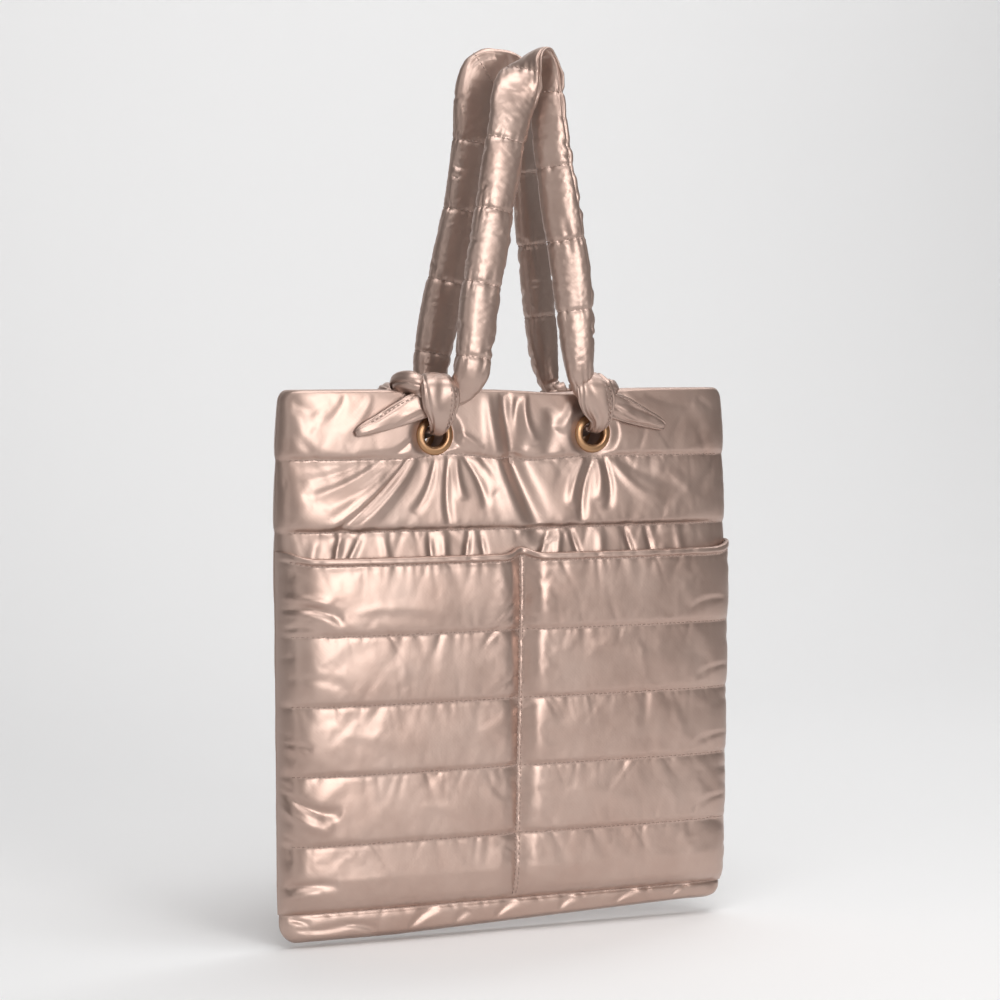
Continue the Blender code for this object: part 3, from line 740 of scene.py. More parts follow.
def closed_panel(name, points, material, has_grommets=True):
    """A padded panel from its grid, which runs up the lining, over the mouth and down outside.
    It is cut away inside each grommet."""
    rows, columns = points.shape[:2]
    quads = grid_faces(rows, columns)
    middles = points.reshape(-1, 3)[quads].mean(axis=1)
    if has_grommets:
        quads = quads[hole_distances(middles[:, None])[:, 0] > HOLE_CUT]
    faces = quads.tolist()
    top = int(np.argmax(points[:, columns // 2, 2]))
    for column, flip in ((0, False), (columns - 1, True)):
        low, high = top, top
        while low > 0 or high < rows - 1:
            next_low = points[low - 1, column, 2] if low > 0 else -1e9
            next_high = points[high + 1, column, 2] if high < rows - 1 else -1e9
            inner = low * columns + column
            outer = high * columns + column
            if low == high:
                face = (inner, inner - columns, outer + columns)
                low, high = low - 1, high + 1
            elif next_low >= next_high:
                face = (inner, inner - columns, outer)
                low -= 1
            else:
                face = (inner, outer + columns, outer)
                high += 1
            faces.append(face if flip else face[::-1])
    last = (rows - 1) * columns
    faces += [(i, i + 1, last + i + 1, last + i) for i in range(columns - 1)]
    return mesh_object(name, place_in_frame(points).reshape(-1, 3), faces, material)


def hung(points):
    """Points of the body as it hangs: rounded corners, a dipped mouth and a foot that rises."""
    x, down = points[..., 0], -points[..., 2]
    top = np.clip((CORNER_RADIUS - down) / CORNER_RADIUS, 0.0, 1.0)
    foot = np.clip((down - BAG_HEIGHT + FOOT_CORNER_RADIUS) / FOOT_CORNER_RADIUS, 0.0, 1.0)
    cut = CORNER_RADIUS * (1 - np.sqrt(1 - top**2))
    cut += FOOT_CORNER_RADIUS * (1 - np.sqrt(1 - foot**2))
    near_side = np.clip(np.abs(x) / BAG_HALF, 0.0, 1.0) ** 14
    result = points.copy()
    result[..., 0] -= np.sign(x) * cut * near_side
    rise_share = np.clip((x / BAG_HALF + 0.5) / 1.3, 0.0, 1.0)
    below_seam = np.clip((down - BOTTOM_SEAM) / (BAG_HEIGHT - BOTTOM_SEAM), 0, 1)
    result[..., 2] += FOOT_RISE * rise_share * below_seam
    dip = np.exp(-(((x - MOUTH_DIP_AT) / MOUTH_DIP_HALF) ** 2))
    result[..., 2] -= MOUTH_DIP * dip * np.clip(1 - down / MOUTH_DIP_FALL, 0.0, 1.0)
    return result


def place_in_frame(points):
    """Points of the bag, measured from the middle of its top edge, in the frame."""
    return points + np.array([BAG_MIDDLE, 0.0, BAG_TOP])


def wall_of_panel(seams, across, down):
    """Padding of a panel outside its lining, thick between seams and thin at them."""
    share = channel_share(seams, down)
    share = np.where(down < seams[1], MOUTH_SHARE + (1.0 - MOUTH_SHARE) * share, share)
    foot = np.where(down > seams[-2], FOOT_PUFF, 1.0)
    share = np.where(down > seams[-2], 0.95 * share, share)
    return (SEAM_WALL + (PUFF_WALL - SEAM_WALL) * foot * puff(share)) * side_fall(across)


def panel_half_width(down, seams):
    """Half width down the bag, a little less where a seam pulls the side in."""
    pull = SEAM_PULL * (1.0 - puff(channel_share(seams, down)))
    return BAG_HALF * profile_at(down, 2) - pull


def panel_grid(seams, shares, downs, side):
    """Outer face of a panel as a grid of points from the middle of the bag's top edge."""
    across, down = np.meshgrid(shares, downs)
    outer = hollow_depth(across, down) + wall_of_panel(seams, across, down)
    outer = SIDE_GAP + (outer - SIDE_GAP) * foot_fall(down)
    return np.stack([across * panel_half_width(down, seams), side * outer, -down], axis=-1)


front_seams = [0.0, TOP_CHANNEL] + even_seams(SECOND_SEAM, BOTTOM_SEAM, PANEL_CHANNELS) + [BAG_HEIGHT]
front_shares = panel_columns(CLOTH_STEP)
front_downs = graded(
    (
        (MOUTH_ROLL, 0.0),
        (TOP_CHANNEL, CLOTH_STEP),
        (SECOND_SEAM, CLOTH_STEP),
        (FRONT_COVERED, CLOTH_STEP),
        (BOTTOM_SEAM, 0.012),
        (BAG_HEIGHT - FOOT_ROUND, 0.003),
    )
)
foot_steps = BAG_HEIGHT - FOOT_ROUND * (1 - np.sin(np.linspace(0, math.pi / 2, 6)[1:]))
front_downs = np.concatenate([front_downs, foot_steps])
front_start = panel_grid(front_seams, front_shares, front_downs, -1)


def cut_and_settle(name, start, seams, downs, last, pressure, seed, held):
    """Settles the outer face of a panel down to a depth, held at its seams and edges."""
    rows = np.searchsorted(downs, last - 1e-6) + 1
    block = start[:rows].copy()
    sewn = np.zeros(block.shape[:2], dtype=bool)
    for seam in seams:
        row = np.argmin(np.abs(downs[:rows] - seam))
        if abs(downs[row] - seam) < 0.0005:
            sewn[row] = True
    sewn[0] = sewn[-1] = True
    sewn[:, :4] = sewn[:, -4:] = True
    sewn |= held[:rows]
    random = np.random.default_rng(seed)
    jitter = random.normal(0.0, 0.00006, block.shape[:2])
    block[..., 1] += np.where(sewn, 0.0, jitter)
    result = start.copy()
    faces = grid_faces(*block.shape[:2])
    moved = settled(name, block, cut_sheet(block), faces, sewn, pressure, PANEL_BENDING) - block
    result[:rows] += wrinkles_of(moved)
    return result


def rolled_over(outer_row, lining_row, steps, rise):
    """Rows that carry the cloth over an edge, from its lining to its outer face."""
    middle = (outer_row + lining_row) / 2
    reach = (outer_row - lining_row) / 2
    rows = []
    for step in range(1, steps):
        angle = math.pi * step / steps
        rows.append(middle + reach * math.cos(angle) + np.array([0, 0, rise * math.sin(angle)]))
    return np.array(rows)[::-1]


def with_lining(points, shares, downs, side, seams):
    """A whole panel's grid: its lining from the foot up, the rolled mouth and the outer face."""
    far_step, near_step = LINING_STEPS
    lining_downs = graded(((BAG_HEIGHT, 0.0), (LINING_NEAR, far_step), (MOUTH_ROLL, near_step)))
    across, down = np.meshgrid(shares, lining_downs)
    lining = np.stack(
        [across * panel_half_width(down, seams) * 0.998, side * hollow_depth(across, down), -down],
        axis=-1,
    )
    over = rolled_over(points[0], lining[-1], MOUTH_STEPS, MOUTH_ROLL)
    rows = np.concatenate([lining, over, points])
    row_downs = np.concatenate([lining_downs, np.zeros(len(over)), downs])
    return rows, row_downs, len(lining) + len(over)


def finely(grid, shares, row_downs):
    """A grid twice as fine both ways, with its shares across and its depths at each point."""
    fine = finer(finer(grid, 0), 1)
    across = np.interp(np.arange(fine.shape[1]) / 2, np.arange(len(shares)), shares)
    down = np.interp(np.arange(fine.shape[0]) / 2, np.arange(len(row_downs)), row_downs)
    return fine, across, np.broadcast_to(down[:, None], fine.shape[:2])


front_points = cut_and_settle(
    "front cloth",
    front_start,
    front_seams,
    front_downs,
    FRONT_COVERED,
    -PANEL_PRESSURE,
    11,
    hole_distances(front_start) < GROMMET_OUTER / 2 + CLAMPED_MARGIN,
)
front_grid, front_row_downs, front_outer_row = with_lining(
    front_points, front_shares, front_downs, -1, front_seams
)
front_fine, front_across, front_down = finely(front_grid, front_shares, front_row_downs)
front_x = front_fine[..., 0].copy()
front_outer = (np.arange(front_fine.shape[0]) >= 2 * front_outer_row - 6)[:, None]
front_rise = fold_heights(front_x, front_down, FRONT_FOLDS)
ruffle_zone = np.exp(-(((front_down - RUFFLE_MIDDLE) / RUFFLE_HALF) ** 2))
for ruffle_x, ruffle_half, ruffle_rise, ruffle_lean in FRONT_RUFFLES:
    ruffle_aside = front_x - ruffle_x / 1000 - ruffle_lean / 12 * (front_down - RUFFLE_TOP)
    ruffle_bell = np.exp(-((ruffle_aside / (ruffle_half / 1000)) ** 2))
    front_rise += ruffle_rise / 1000 * ruffle_zone * ruffle_bell
for seam_index, seam in enumerate(front_seams[1:4]):
    front_rise += seam_teeth(front_x, front_down, seam, STITCH_SEED + seam_index, *FINE_GATHER)
    front_rise += seam_teeth(front_x, front_down, seam, STITCH_SEED + 20 + seam_index, *WIDE_GATHER)
front_rise += seam_teeth(front_x, front_down, front_seams[-2], STITCH_SEED + 9, *FOOT_GATHER)
front_rise += side_darts(front_x, front_down, 110)
front_hole = hole_distances(front_fine)
front_rise *= np.clip((front_hole - GROMMET_OUTER / 2) / HOLE_FADE, 0.0, 1.0) * front_outer
front_rise *= np.clip((1.0 - np.abs(front_across)) / SIDE_FADE, 0.0, 1.0)[None, :]
front_fine = front_fine + grid_normals(front_fine) * front_rise[..., None]
for seam_index, wave_x, wave_half, wave_lift in SEAM_WAVES:
    wave_near = np.exp(-(((front_down - front_seams[seam_index]) / SEAM_WAVE_HALF) ** 2))
    wave_along = np.exp(-(((front_x - wave_x / 1000) / (wave_half / 1000)) ** 2))
    front_fine[..., 2] += wave_lift / 1000 * wave_near * wave_along * front_outer
front_hung = hung(pressed(front_fine, front_hole, front_outer, -1))
front_stitched = [front_seams[1], front_seams[2], front_seams[-2]]
add_stitches(
    "front_panel_stitches",
    seam_rows_of(front_hung, front_down[:, 0], front_stitched, 2 * front_outer_row, 1.0),
    thread_material,
)
front_panel = closed_panel("front_quilted_panel", front_hung, body_cloth)
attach(front_panel, "root")
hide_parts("front_panel")

# Back panel: the same quilted wall of nylon and wadding behind, sewn to the front panel at the
# sides and the foot. It has no pocket and no deep folds, and its own knots gather it a little
# under the grommets.
BACK_STEP = 0.0042
BACK_ROW_STEP = 0.0044
BACK_FOLD_SHARE = 0.8
BACK_FOLDS = tuple(
    (x0, down0, x1, down1, bow, half, rise * BACK_FOLD_SHARE, tilt)
    for x0, down0, x1, down1, bow, half, rise, tilt in FRONT_FOLDS
    if down0 > 30 and down1 < 115
)
back_seams = front_seams
back_shares = panel_columns(BACK_STEP)
back_downs = np.concatenate(
    [
        graded(
            (
                (MOUTH_ROLL, 0.0),
                (TOP_CHANNEL, BACK_STEP),
                *((seam, BACK_ROW_STEP) for seam in back_seams[2:-1]),
                (BAG_HEIGHT - FOOT_ROUND, 0.003),
            )
        ),
        foot_steps,
    ]
)
back_start = panel_grid(back_seams, back_shares, back_downs, 1)
back_points = cut_and_settle(
    "back cloth",
    back_start,
    back_seams,
    back_downs,
    BOTTOM_SEAM,
    PANEL_PRESSURE,
    12,
    hole_distances(back_start) < GROMMET_OUTER / 2 + CLAMPED_MARGIN,
)
back_grid, back_row_downs, back_outer_row = with_lining(
    back_points, back_shares, back_downs, 1, back_seams
)
back_fine, back_across, back_down = finely(back_grid, back_shares, back_row_downs)
back_x = back_fine[..., 0].copy()
back_outer = (np.arange(back_fine.shape[0]) >= 2 * back_outer_row - 6)[:, None]
back_rise = fold_heights(-back_x, back_down, BACK_FOLDS)
for seam_index, seam in enumerate(back_seams[1:-1]):
    back_rise += seam_teeth(back_x, back_down, seam, 40 + seam_index, *FINE_GATHER)
    back_rise += seam_teeth(back_x, back_down, seam, 50 + seam_index, *WIDE_GATHER)
back_hole = hole_distances(back_fine)
back_rise *= np.clip((back_hole - GROMMET_OUTER / 2) / HOLE_FADE, 0.0, 1.0) * back_outer
back_rise *= np.clip((1.0 - np.abs(back_across)) / SIDE_FADE, 0.0, 1.0)[None, :]
back_fine = back_fine - grid_normals(back_fine) * back_rise[..., None]
back_hung = hung(pressed(back_fine, back_hole, back_outer, 1))
add_stitches(
    "back_panel_stitches",
    seam_rows_of(back_hung, back_down[:, 0], back_seams[1:-1], 2 * back_outer_row, -1.0),
    thread_material,
)
back_panel = closed_panel("back_quilted_panel", back_hung[:, ::-1], body_cloth)
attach(back_panel, "root")
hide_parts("back_panel")

# Pocket panel: a padded piece of the same nylon over the lower front, sewn down at the sides,
# the foot and the middle, so it makes two pockets. Its upper edge is a stitched hem.
POCKET_TOP = 0.133
POCKET_HEM = 0.0065
POCKET_CHANNELS = 5
POCKET_PUFF_WALL = 0.0088
POCKET_MOUTH = 0.0085
CENTRE_GROOVE = 0.0045
HEM_WALL = 0.0070
HEM_SEAM_WALL = 0.0042
POCKET_EDGE_WALL = 0.0008
POCKET_EDGE_FALL = 0.012
POCKET_LINING_GAP = 0.0004
HEM_FALL = 0.006
HEM_ROLL = 0.0016
HEM_ROLL_STEPS = 6
HEM_LIFT = 0.005
HEM_LIFT_SIDE = 0.013
HEM_LIFT_CENTRE = 0.009
HEM_LIFT_FALL = 0.04
POCKET_SIDE_FADE = 0.03
POCKET_GATHER = (0.015, 0.0009, 0.014)
CENTRE_FINE_GATHER = (0.0058, 0.0008, 0.007)
CENTRE_WIDE_GATHER = (0.013, 0.0011, 0.013)
POCKET_STEP = 0.0036
CENTRE_STITCH = 0.0016 / BAG_HALF
POCKET_FOLDS = (
    # from x, from down, to x, to down, bow, half width, rise, tilt, all in millimetres but tilt
    (-205, 176, -160, 186, 6, 4.2, -3.6, 0.5),
    (-205, 166, -168, 174, 4, 3.6, 1.8, 0.0),
    (-203, 189, -176, 191, 2, 2.4, -1.2, 0.0),
    (-204, 282, -184, 287, 2, 2.6, -1.4, 0.4),
    (-205, 318, -160, 340, -5, 4.2, -3.6, 0.4),
    (-205, 328, -166, 350, -5, 3.6, 2.2, 0.0),
    (-204, 352, -188, 360, -2, 2.4, -1.4, 0.3),
    (-205, 398, -160, 397, 2, 3.6, -2.6, 0.4),
    (-205, 406, -172, 402, 2, 3.0, 1.4, 0.0),
    (-150, 178, -60, 186, 6, 6.0, 0.9, 0.4),
    (-36, 206, -4, 180, 2, 2.8, -1.4, 0.5),
    (-30, 192, -3, 168, 2, 2.2, -1.0, 0.4),
    (-3, 232, -30, 246, -2, 2.6, -1.0, 0.4),
    (190, 176, 150, 184, -4, 3.4, -1.4, 0.4),
    (196, 232, 160, 240, -3, 3.0, -1.2, 0.4),
    (196, 290, 156, 300, -4, 3.0, -1.2, 0.4),
    (196, 342, 160, 352, -3, 3.0, -1.4, 0.4),
    (-200, 230, -150, 244, 5, 5.0, -0.8, 0.4),
    (-90, 336, -30, 356, 4, 6.0, 0.8, 0.3),
    (40, 330, 110, 350, 4, 6.0, 0.7, 0.3),
    (60, 210, 140, 236, 5, 7.0, 0.7, 0.3),
    (-160, 276, -90, 296, 5, 7.0, 0.7, 0.3),
)
pocket_seams = [POCKET_TOP] + even_seams(POCKET_TOP + POCKET_HEM, BOTTOM_SEAM, POCKET_CHANNELS)
pocket_shares = panel_columns(POCKET_STEP, extra=(-CENTRE_STITCH, CENTRE_STITCH))
pocket_downs = graded(
    (
        (POCKET_TOP + HEM_ROLL, 0.0),
        (pocket_seams[1], 0.0018),
        *((seam, POCKET_STEP) for seam in pocket_seams[2:]),
    )
)


def centre_pinch(x):
    """Fall of the pocket's padding to its middle seam."""
    return 1.0 - np.exp(-np.maximum(np.abs(x) - 0.0012, 0.0) / CENTRE_GROOVE)


def pocket_back(across, down):
    """Distance of the pocket's lining from the middle plane."""
    above_seam = (BOTTOM_SEAM - down) / (pocket_seams[-1] - pocket_seams[-2])
    crown = SEAM_WALL + (PUFF_WALL - SEAM_WALL) * puff(np.minimum(above_seam, 0.5))
    crown = (crown + POCKET_LINING_GAP) * side_fall(across)
    slack = np.sqrt(np.clip(BOTTOM_SEAM - down, 0, None) / (BOTTOM_SEAM - POCKET_TOP))
    round_side = np.sqrt(np.clip(1.0 - np.abs(across) ** SIDE_ROUNDING, 0.0, 1.0))
    open_part = round_side * (1.0 - np.exp(-((across / 0.05) ** 2)))
    return hollow_depth(across, down) + crown + POCKET_MOUTH * slack * open_part


pocket_across, pocket_down = np.meshgrid(pocket_shares, pocket_downs)
pocket_share = channel_share(pocket_seams, pocket_down)
pocket_x = pocket_across * BAG_HALF * (profile_at(pocket_down, 2) + 0.004)
pocket_full = puff(pocket_share) * centre_pinch(pocket_x)
pocket_wall = SEAM_WALL + (POCKET_PUFF_WALL - SEAM_WALL) * pocket_full
below_hem = np.exp(-np.maximum(pocket_down - pocket_seams[1], 0.0) / HEM_FALL)
pocket_wall += (HEM_SEAM_WALL - SEAM_WALL) * below_hem
in_hem = pocket_down < pocket_seams[1] - 1e-9
hem_share = np.clip((pocket_down - POCKET_TOP) / POCKET_HEM, 0.0, 1.0)
hem_wall = HEM_SEAM_WALL + (HEM_WALL - HEM_SEAM_WALL) * np.sin(math.pi * hem_share) ** 0.5
pocket_wall = np.where(in_hem, hem_wall, pocket_wall)
edge_share = np.clip(1.0 - (BOTTOM_SEAM - pocket_down) / POCKET_EDGE_FALL, 0.0, 1.0)
pocket_wall += (POCKET_EDGE_WALL - SEAM_WALL) * edge_share**2
pocket_wall *= side_fall(pocket_across)
pocket_start = np.stack(
    [pocket_x, -(pocket_back(pocket_across, pocket_down) + pocket_wall), -pocket_down], axis=-1
)
centre_held = np.abs(pocket_across) < CENTRE_STITCH * 1.05
pocket_points = cut_and_settle(
    "pocket cloth",
    pocket_start,
    pocket_seams,
    pocket_downs,
    BOTTOM_SEAM,
    -PANEL_PRESSURE,
    13,
    centre_held,
)
pocket_lining_downs = graded(((BOTTOM_SEAM, 0.0), (POCKET_TOP + HEM_ROLL, -0.014)))
lining_across, lining_down = np.meshgrid(pocket_shares, pocket_lining_downs)
pocket_lining = np.stack(
    [
        lining_across * BAG_HALF * (profile_at(lining_down, 2) + 0.003),
        -pocket_back(lining_across, lining_down),
        -lining_down,
    ],
    axis=-1,
)
pocket_roll = rolled_over(pocket_points[0], pocket_lining[-1], HEM_ROLL_STEPS, HEM_ROLL)
pocket_grid = np.concatenate([pocket_lining, pocket_roll, pocket_points])
roll_downs = np.full(len(pocket_roll), POCKET_TOP)
pocket_row_downs = np.concatenate([pocket_lining_downs, roll_downs, pocket_downs])
pocket_first = 2 * (len(pocket_lining) + len(pocket_roll))
pocket_fine, fine_across, fine_down = finely(pocket_grid, pocket_shares, pocket_row_downs)
fine_x = pocket_fine[..., 0].copy()
pocket_rise = fold_heights(fine_x, fine_down, POCKET_FOLDS)
for seam_index, seam in enumerate(pocket_seams[1:]):
    pocket_rise += seam_teeth(fine_x, fine_down, seam, 70 + seam_index, *FINE_GATHER)
    pocket_rise += seam_teeth(fine_x, fine_down, seam, 80 + seam_index, *POCKET_GATHER)
pocket_rise += seam_teeth(fine_down, fine_x, 0.0, 90, *CENTRE_FINE_GATHER)
pocket_rise += seam_teeth(fine_down, fine_x, 0.0, 95, *CENTRE_WIDE_GATHER)
pocket_rise += side_darts(fine_x, fine_down, 97)
pocket_outer = (np.arange(len(pocket_fine)) >= pocket_first - 4)[:, None]
pocket_rise *= pocket_outer
pocket_rise *= np.clip((1.0 - np.abs(fine_across)) / POCKET_SIDE_FADE, 0.0, 1.0)[None, :]
pocket_fine = pocket_fine + grid_normals(pocket_fine) * pocket_rise[..., None]
hem_lift = np.exp(-(((np.abs(fine_across) - 1.0) * BAG_HALF / HEM_LIFT_SIDE) ** 2))
hem_lift += np.exp(-((fine_across * BAG_HALF / HEM_LIFT_CENTRE) ** 2))
hem_fade = np.clip(1.0 - (fine_down - POCKET_TOP) / HEM_LIFT_FALL, 0.0, 1.0)
pocket_fine[..., 2] += HEM_LIFT * hem_lift[None, :] * hem_fade
pocket_hung = hung(pocket_fine)
pocket_stitched = seam_rows_of(pocket_hung, fine_down[:, 0], pocket_seams[1:-1], pocket_first, 1.0)
pocket_normals = grid_normals(pocket_hung)
for stitch_side in (-1, 1):
    column = int(np.argmin(np.abs(fine_across - stitch_side * CENTRE_STITCH)))
    pocket_stitched.append((pocket_hung[pocket_first:, column], pocket_normals[pocket_first:, column]))
add_stitches("pocket_panel_stitches", pocket_stitched, thread_material)
pocket_panel = closed_panel("pocket_quilted_panel", pocket_hung, body_cloth, has_grommets=False)
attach(pocket_panel, "root")
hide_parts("pocket_panel")

# Grommets: turned brass rings with an antique gold finish, a little tarnished. Each is pressed
# through a wall near its top edge, with a domed flange outside and a plain collar inside, and
# clamps the cloth between them.
BRASS_COLOUR = (0.46, 0.265, 0.15, 1.0)
BRASS_DARK = (0.40, 0.24, 0.11, 1.0)
BRASS_ROUGHNESS = 0.36
RING_SIDES = 96
RING_OUTER = 0.0324
RING_BORE = 0.0187
RING_SHEET = 0.0009
RING_BACK = 0.027
RING_DOME = 0.0027
RING_EDGE = 0.0006
RING_CREASE = math.radians(50)
RING_PROFILE = (
    # share from bore to rim, share of the dome's rise
    (0.00, 0.10),
    (0.03, 0.42),
    (0.09, 0.72),
    (0.18, 0.92),
    (0.32, 1.00),
    (0.50, 0.97),
    (0.70, 0.86),
    (0.88, 0.68),
    (0.97, 0.42),
    (1.00, 0.10),
)
tarnish_group, tarnish_in, tarnish_out = new_group(
    "brushed tarnish", (("Patch Scale", 120.0), ("Scratch Scale", 900.0)), ("Tarnish", "Height")
)
tarnish_place = add_node(tarnish_group, "ShaderNodeTexCoord")
tarnish_noise = add_node(tarnish_group, "ShaderNodeTexNoise", {"Detail": 5.0, "Roughness": 0.65})
tarnish_group.links.new(tarnish_place.outputs["Object"], tarnish_noise.inputs["Vector"])
tarnish_group.links.new(tarnish_in.outputs["Patch Scale"], tarnish_noise.inputs["Scale"])
tarnish_range = add_node(tarnish_group, "ShaderNodeMapRange", {"From Min": 0.42, "From Max": 0.72})
tarnish_group.links.new(tarnish_noise.outputs["Fac"], tarnish_range.inputs["Value"])
tarnish_group.links.new(tarnish_range.outputs["Result"], tarnish_out.inputs["Tarnish"])
scratches = add_node(tarnish_group, "ShaderNodeTexNoise", {"Detail": 2.0})
tarnish_group.links.new(tarnish_place.outputs["Object"], scratches.inputs["Vector"])
tarnish_group.links.new(tarnish_in.outputs["Scratch Scale"], scratches.inputs["Scale"])
tarnish_group.links.new(scratches.outputs["Fac"], tarnish_out.inputs["Height"])


def brass_material(name, bright, dark, roughness):
    """Antique gold plating with darker tarnish in patches."""
    material, tree, shader = shader_of(name)
    surface = add_node(tree, "ShaderNodeGroup", node_tree=tarnish_group)
    tone = add_node(tree, "ShaderNodeMix", data_type="RGBA")
    tone.inputs["A"].default_value = bright
    tone.inputs["B"].default_value = dark
    soften = add_node(tree, "ShaderNodeMath", {1: 0.45}, operation="MULTIPLY")
    tree.links.new(surface.outputs["Tarnish"], soften.inputs[0])
    tree.links.new(soften.outputs[0], tone.inputs["Factor"])
    tree.links.new(tone.outputs["Result"], shader.inputs["Base Color"])
    rough = add_node(tree, "ShaderNodeMapRange", {"To Min": roughness, "To Max": roughness + 0.14})
    tree.links.new(surface.outputs["Tarnish"], rough.inputs["Value"])
    tree.links.new(rough.outputs["Result"], shader.inputs["Roughness"])
    bump = add_node(tree, "ShaderNodeBump", {"Strength": 0.4, "Distance": 0.00003})
    tree.links.new(surface.outputs["Height"], bump.inputs["Height"])
    tree.links.new(bump.outputs["Normal"], shader.inputs["Normal"])
    shader.inputs["Metallic"].default_value = 1.0
    return material


brass = brass_material("antique gold", BRASS_COLOUR, BRASS_DARK, BRASS_ROUGHNESS)


def turned_ring(name, node, outward):
    """A ring turned around the middle of its node, with its dome outward."""
    low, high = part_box(node)
    middle = (low + high) / 2
    face = low.y if outward < 0 else high.y
    collar_end = high.y if outward < 0 else low.y
    bore, rim = RING_BORE / 2, RING_OUTER / 2
    under = face - outward * RING_DOME
    neck = bore + RING_SHEET
    collar = collar_end + outward * RING_SHEET
    section = [
        (bore + (rim - bore) * out, face - outward * RING_DOME * (1 - up)) for out, up in RING_PROFILE
    ]
    section += [(rim - RING_EDGE, under), (neck, under), (neck, collar), (RING_BACK / 2, collar)]
    section += [(RING_BACK / 2, collar_end), (bore, collar_end)]
    points = []
    for step in range(RING_SIDES):
        angle = 2 * math.pi * step / RING_SIDES
        for radius, y in section:
            points.append((middle.x + radius * math.cos(angle), y, middle.z + radius * math.sin(angle)))
    index = np.arange(len(points)).reshape(RING_SIDES, len(section))
    along = np.roll(index, -1, axis=1)
    beyond = np.roll(index, -1, axis=0)
    quads = np.stack([index, along, np.roll(along, -1, axis=0), beyond], axis=-1).reshape(-1, 4)
    ring = mesh_object(name, points, (quads if outward < 0 else quads[:, ::-1]).tolist(), brass)
    ring.data.set_sharp_from_angle(angle=RING_CREASE)
    return ring


for grommet_name, outward in (("front_left", -1), ("front_right", -1), ("back_left", 1), ("back_right", 1)):
    ring = turned_ring(f"brass_ring_{grommet_name}", f"grommet_{grommet_name}", outward)
    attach(ring, "root")
    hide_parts(f"grommet_{grommet_name}")

# Handles: each a long tube of the same nylon around wadding, quilted across every 6 cm. It comes
# down in front of the panel, goes behind its own band and over the edge, out through the
# grommet, up as the band and ends in a tapered tail.
HANDLE_RISE = 0.272
HANDLE_SPREAD = 0.100
HANDLE_STANDOFF = 0.0045
STRAP_WIDTH = 0.034
STRAP_THICK = 0.020
STRAP_PITCH = 0.0595
STRAP_FIRST_SEAM = 0.060
STRAP_PINCH = 0.975
STRAP_GROOVE = 0.0008
STRAP_STEP = 0.0024
ARCH_CUT = 1.035
ARCH_PRESSURE = -1.0
ARCH_BENDING = 1.4
STRAP_DARTS = 60
STRAP_TEETH = 17
GROMMET_BORE = 0.0187
KNOT_GAP = 0.0012
BACK_KNOT_TOP = -0.12
BACK_PLUG = (0.98, 0.90)
PLUG_BELOW = -0.6
PLUG_LAYERS = 0.8
LEAN_FROM = 0.7
TAIL_FROM = 1.06
BAND_STITCHES = (0.105, 0.065)
TAIL_STITCH = 0.375
STRAP_REST_WALL = 0.0095
STRAP_SQUARENESS = 2.3
STRAP_CRINKLE_SCALE = 310.0
KNOT_STEP = 0.0014
STRAP_SIDES = 36
KNOT_SIDES_AROUND = 72
FRONT_ARCH = (
    # across, rise, forward, wide, thick, turn, tip
    (-1.68, -0.010, 0.80, 0.44, 0.50, 0, -62),
    (-1.36, -0.020, 0.82, 0.48, 0.52, 0, -52),
    (-1.10, -0.004, 0.90, 0.64, 0.64, 4, -30),
    (-0.97, 0.045, 1.02, 0.88, 0.90, 4, -6),
    (-0.90, 0.110, 1.03, 0.94, 1.00, 0, 0),
    (-0.80, 0.260, 1.00, 0.98, 1.00, 0, 0),
    (-0.66, 0.400, 1.00, 1.00, 1.00, 0, 0),
    (-0.50, 0.570, 1.00, 0.98, 0.96, 0, 0),
    (-0.31, 0.750, 0.97, 1.04, 0.84, 0, 0),
    (-0.14, 0.870, 0.90, 1.12, 0.70, 4, 18),
    (0.12, 0.965, 0.78, 0.95, 0.52, 30, 40),
    (0.40, 1.000, 0.66, 0.78, 0.36, 68, 12),
    (0.545, 0.945, 0.68, 0.74, 0.50, 62, 0),
    (0.50, 0.790, 0.86, 0.88, 0.84, 44, 0),
    (0.64, 0.570, 0.97, 0.94, 0.94, 30, 0),
    (0.81, 0.385, 1.00, 0.96, 0.96, 22, 0),
    (0.92, 0.210, 1.02, 0.90, 0.92, 16, 0),
    (0.98, 0.085, 1.03, 0.74, 0.84, 10, 4),
    (1.06, 0.012, 0.94, 0.54, 0.66, 4, 28),
    (1.20, -0.012, 0.84, 0.46, 0.54, 0, 50),
    (1.38, -0.008, 0.80, 0.44, 0.50, 0, 62),
)
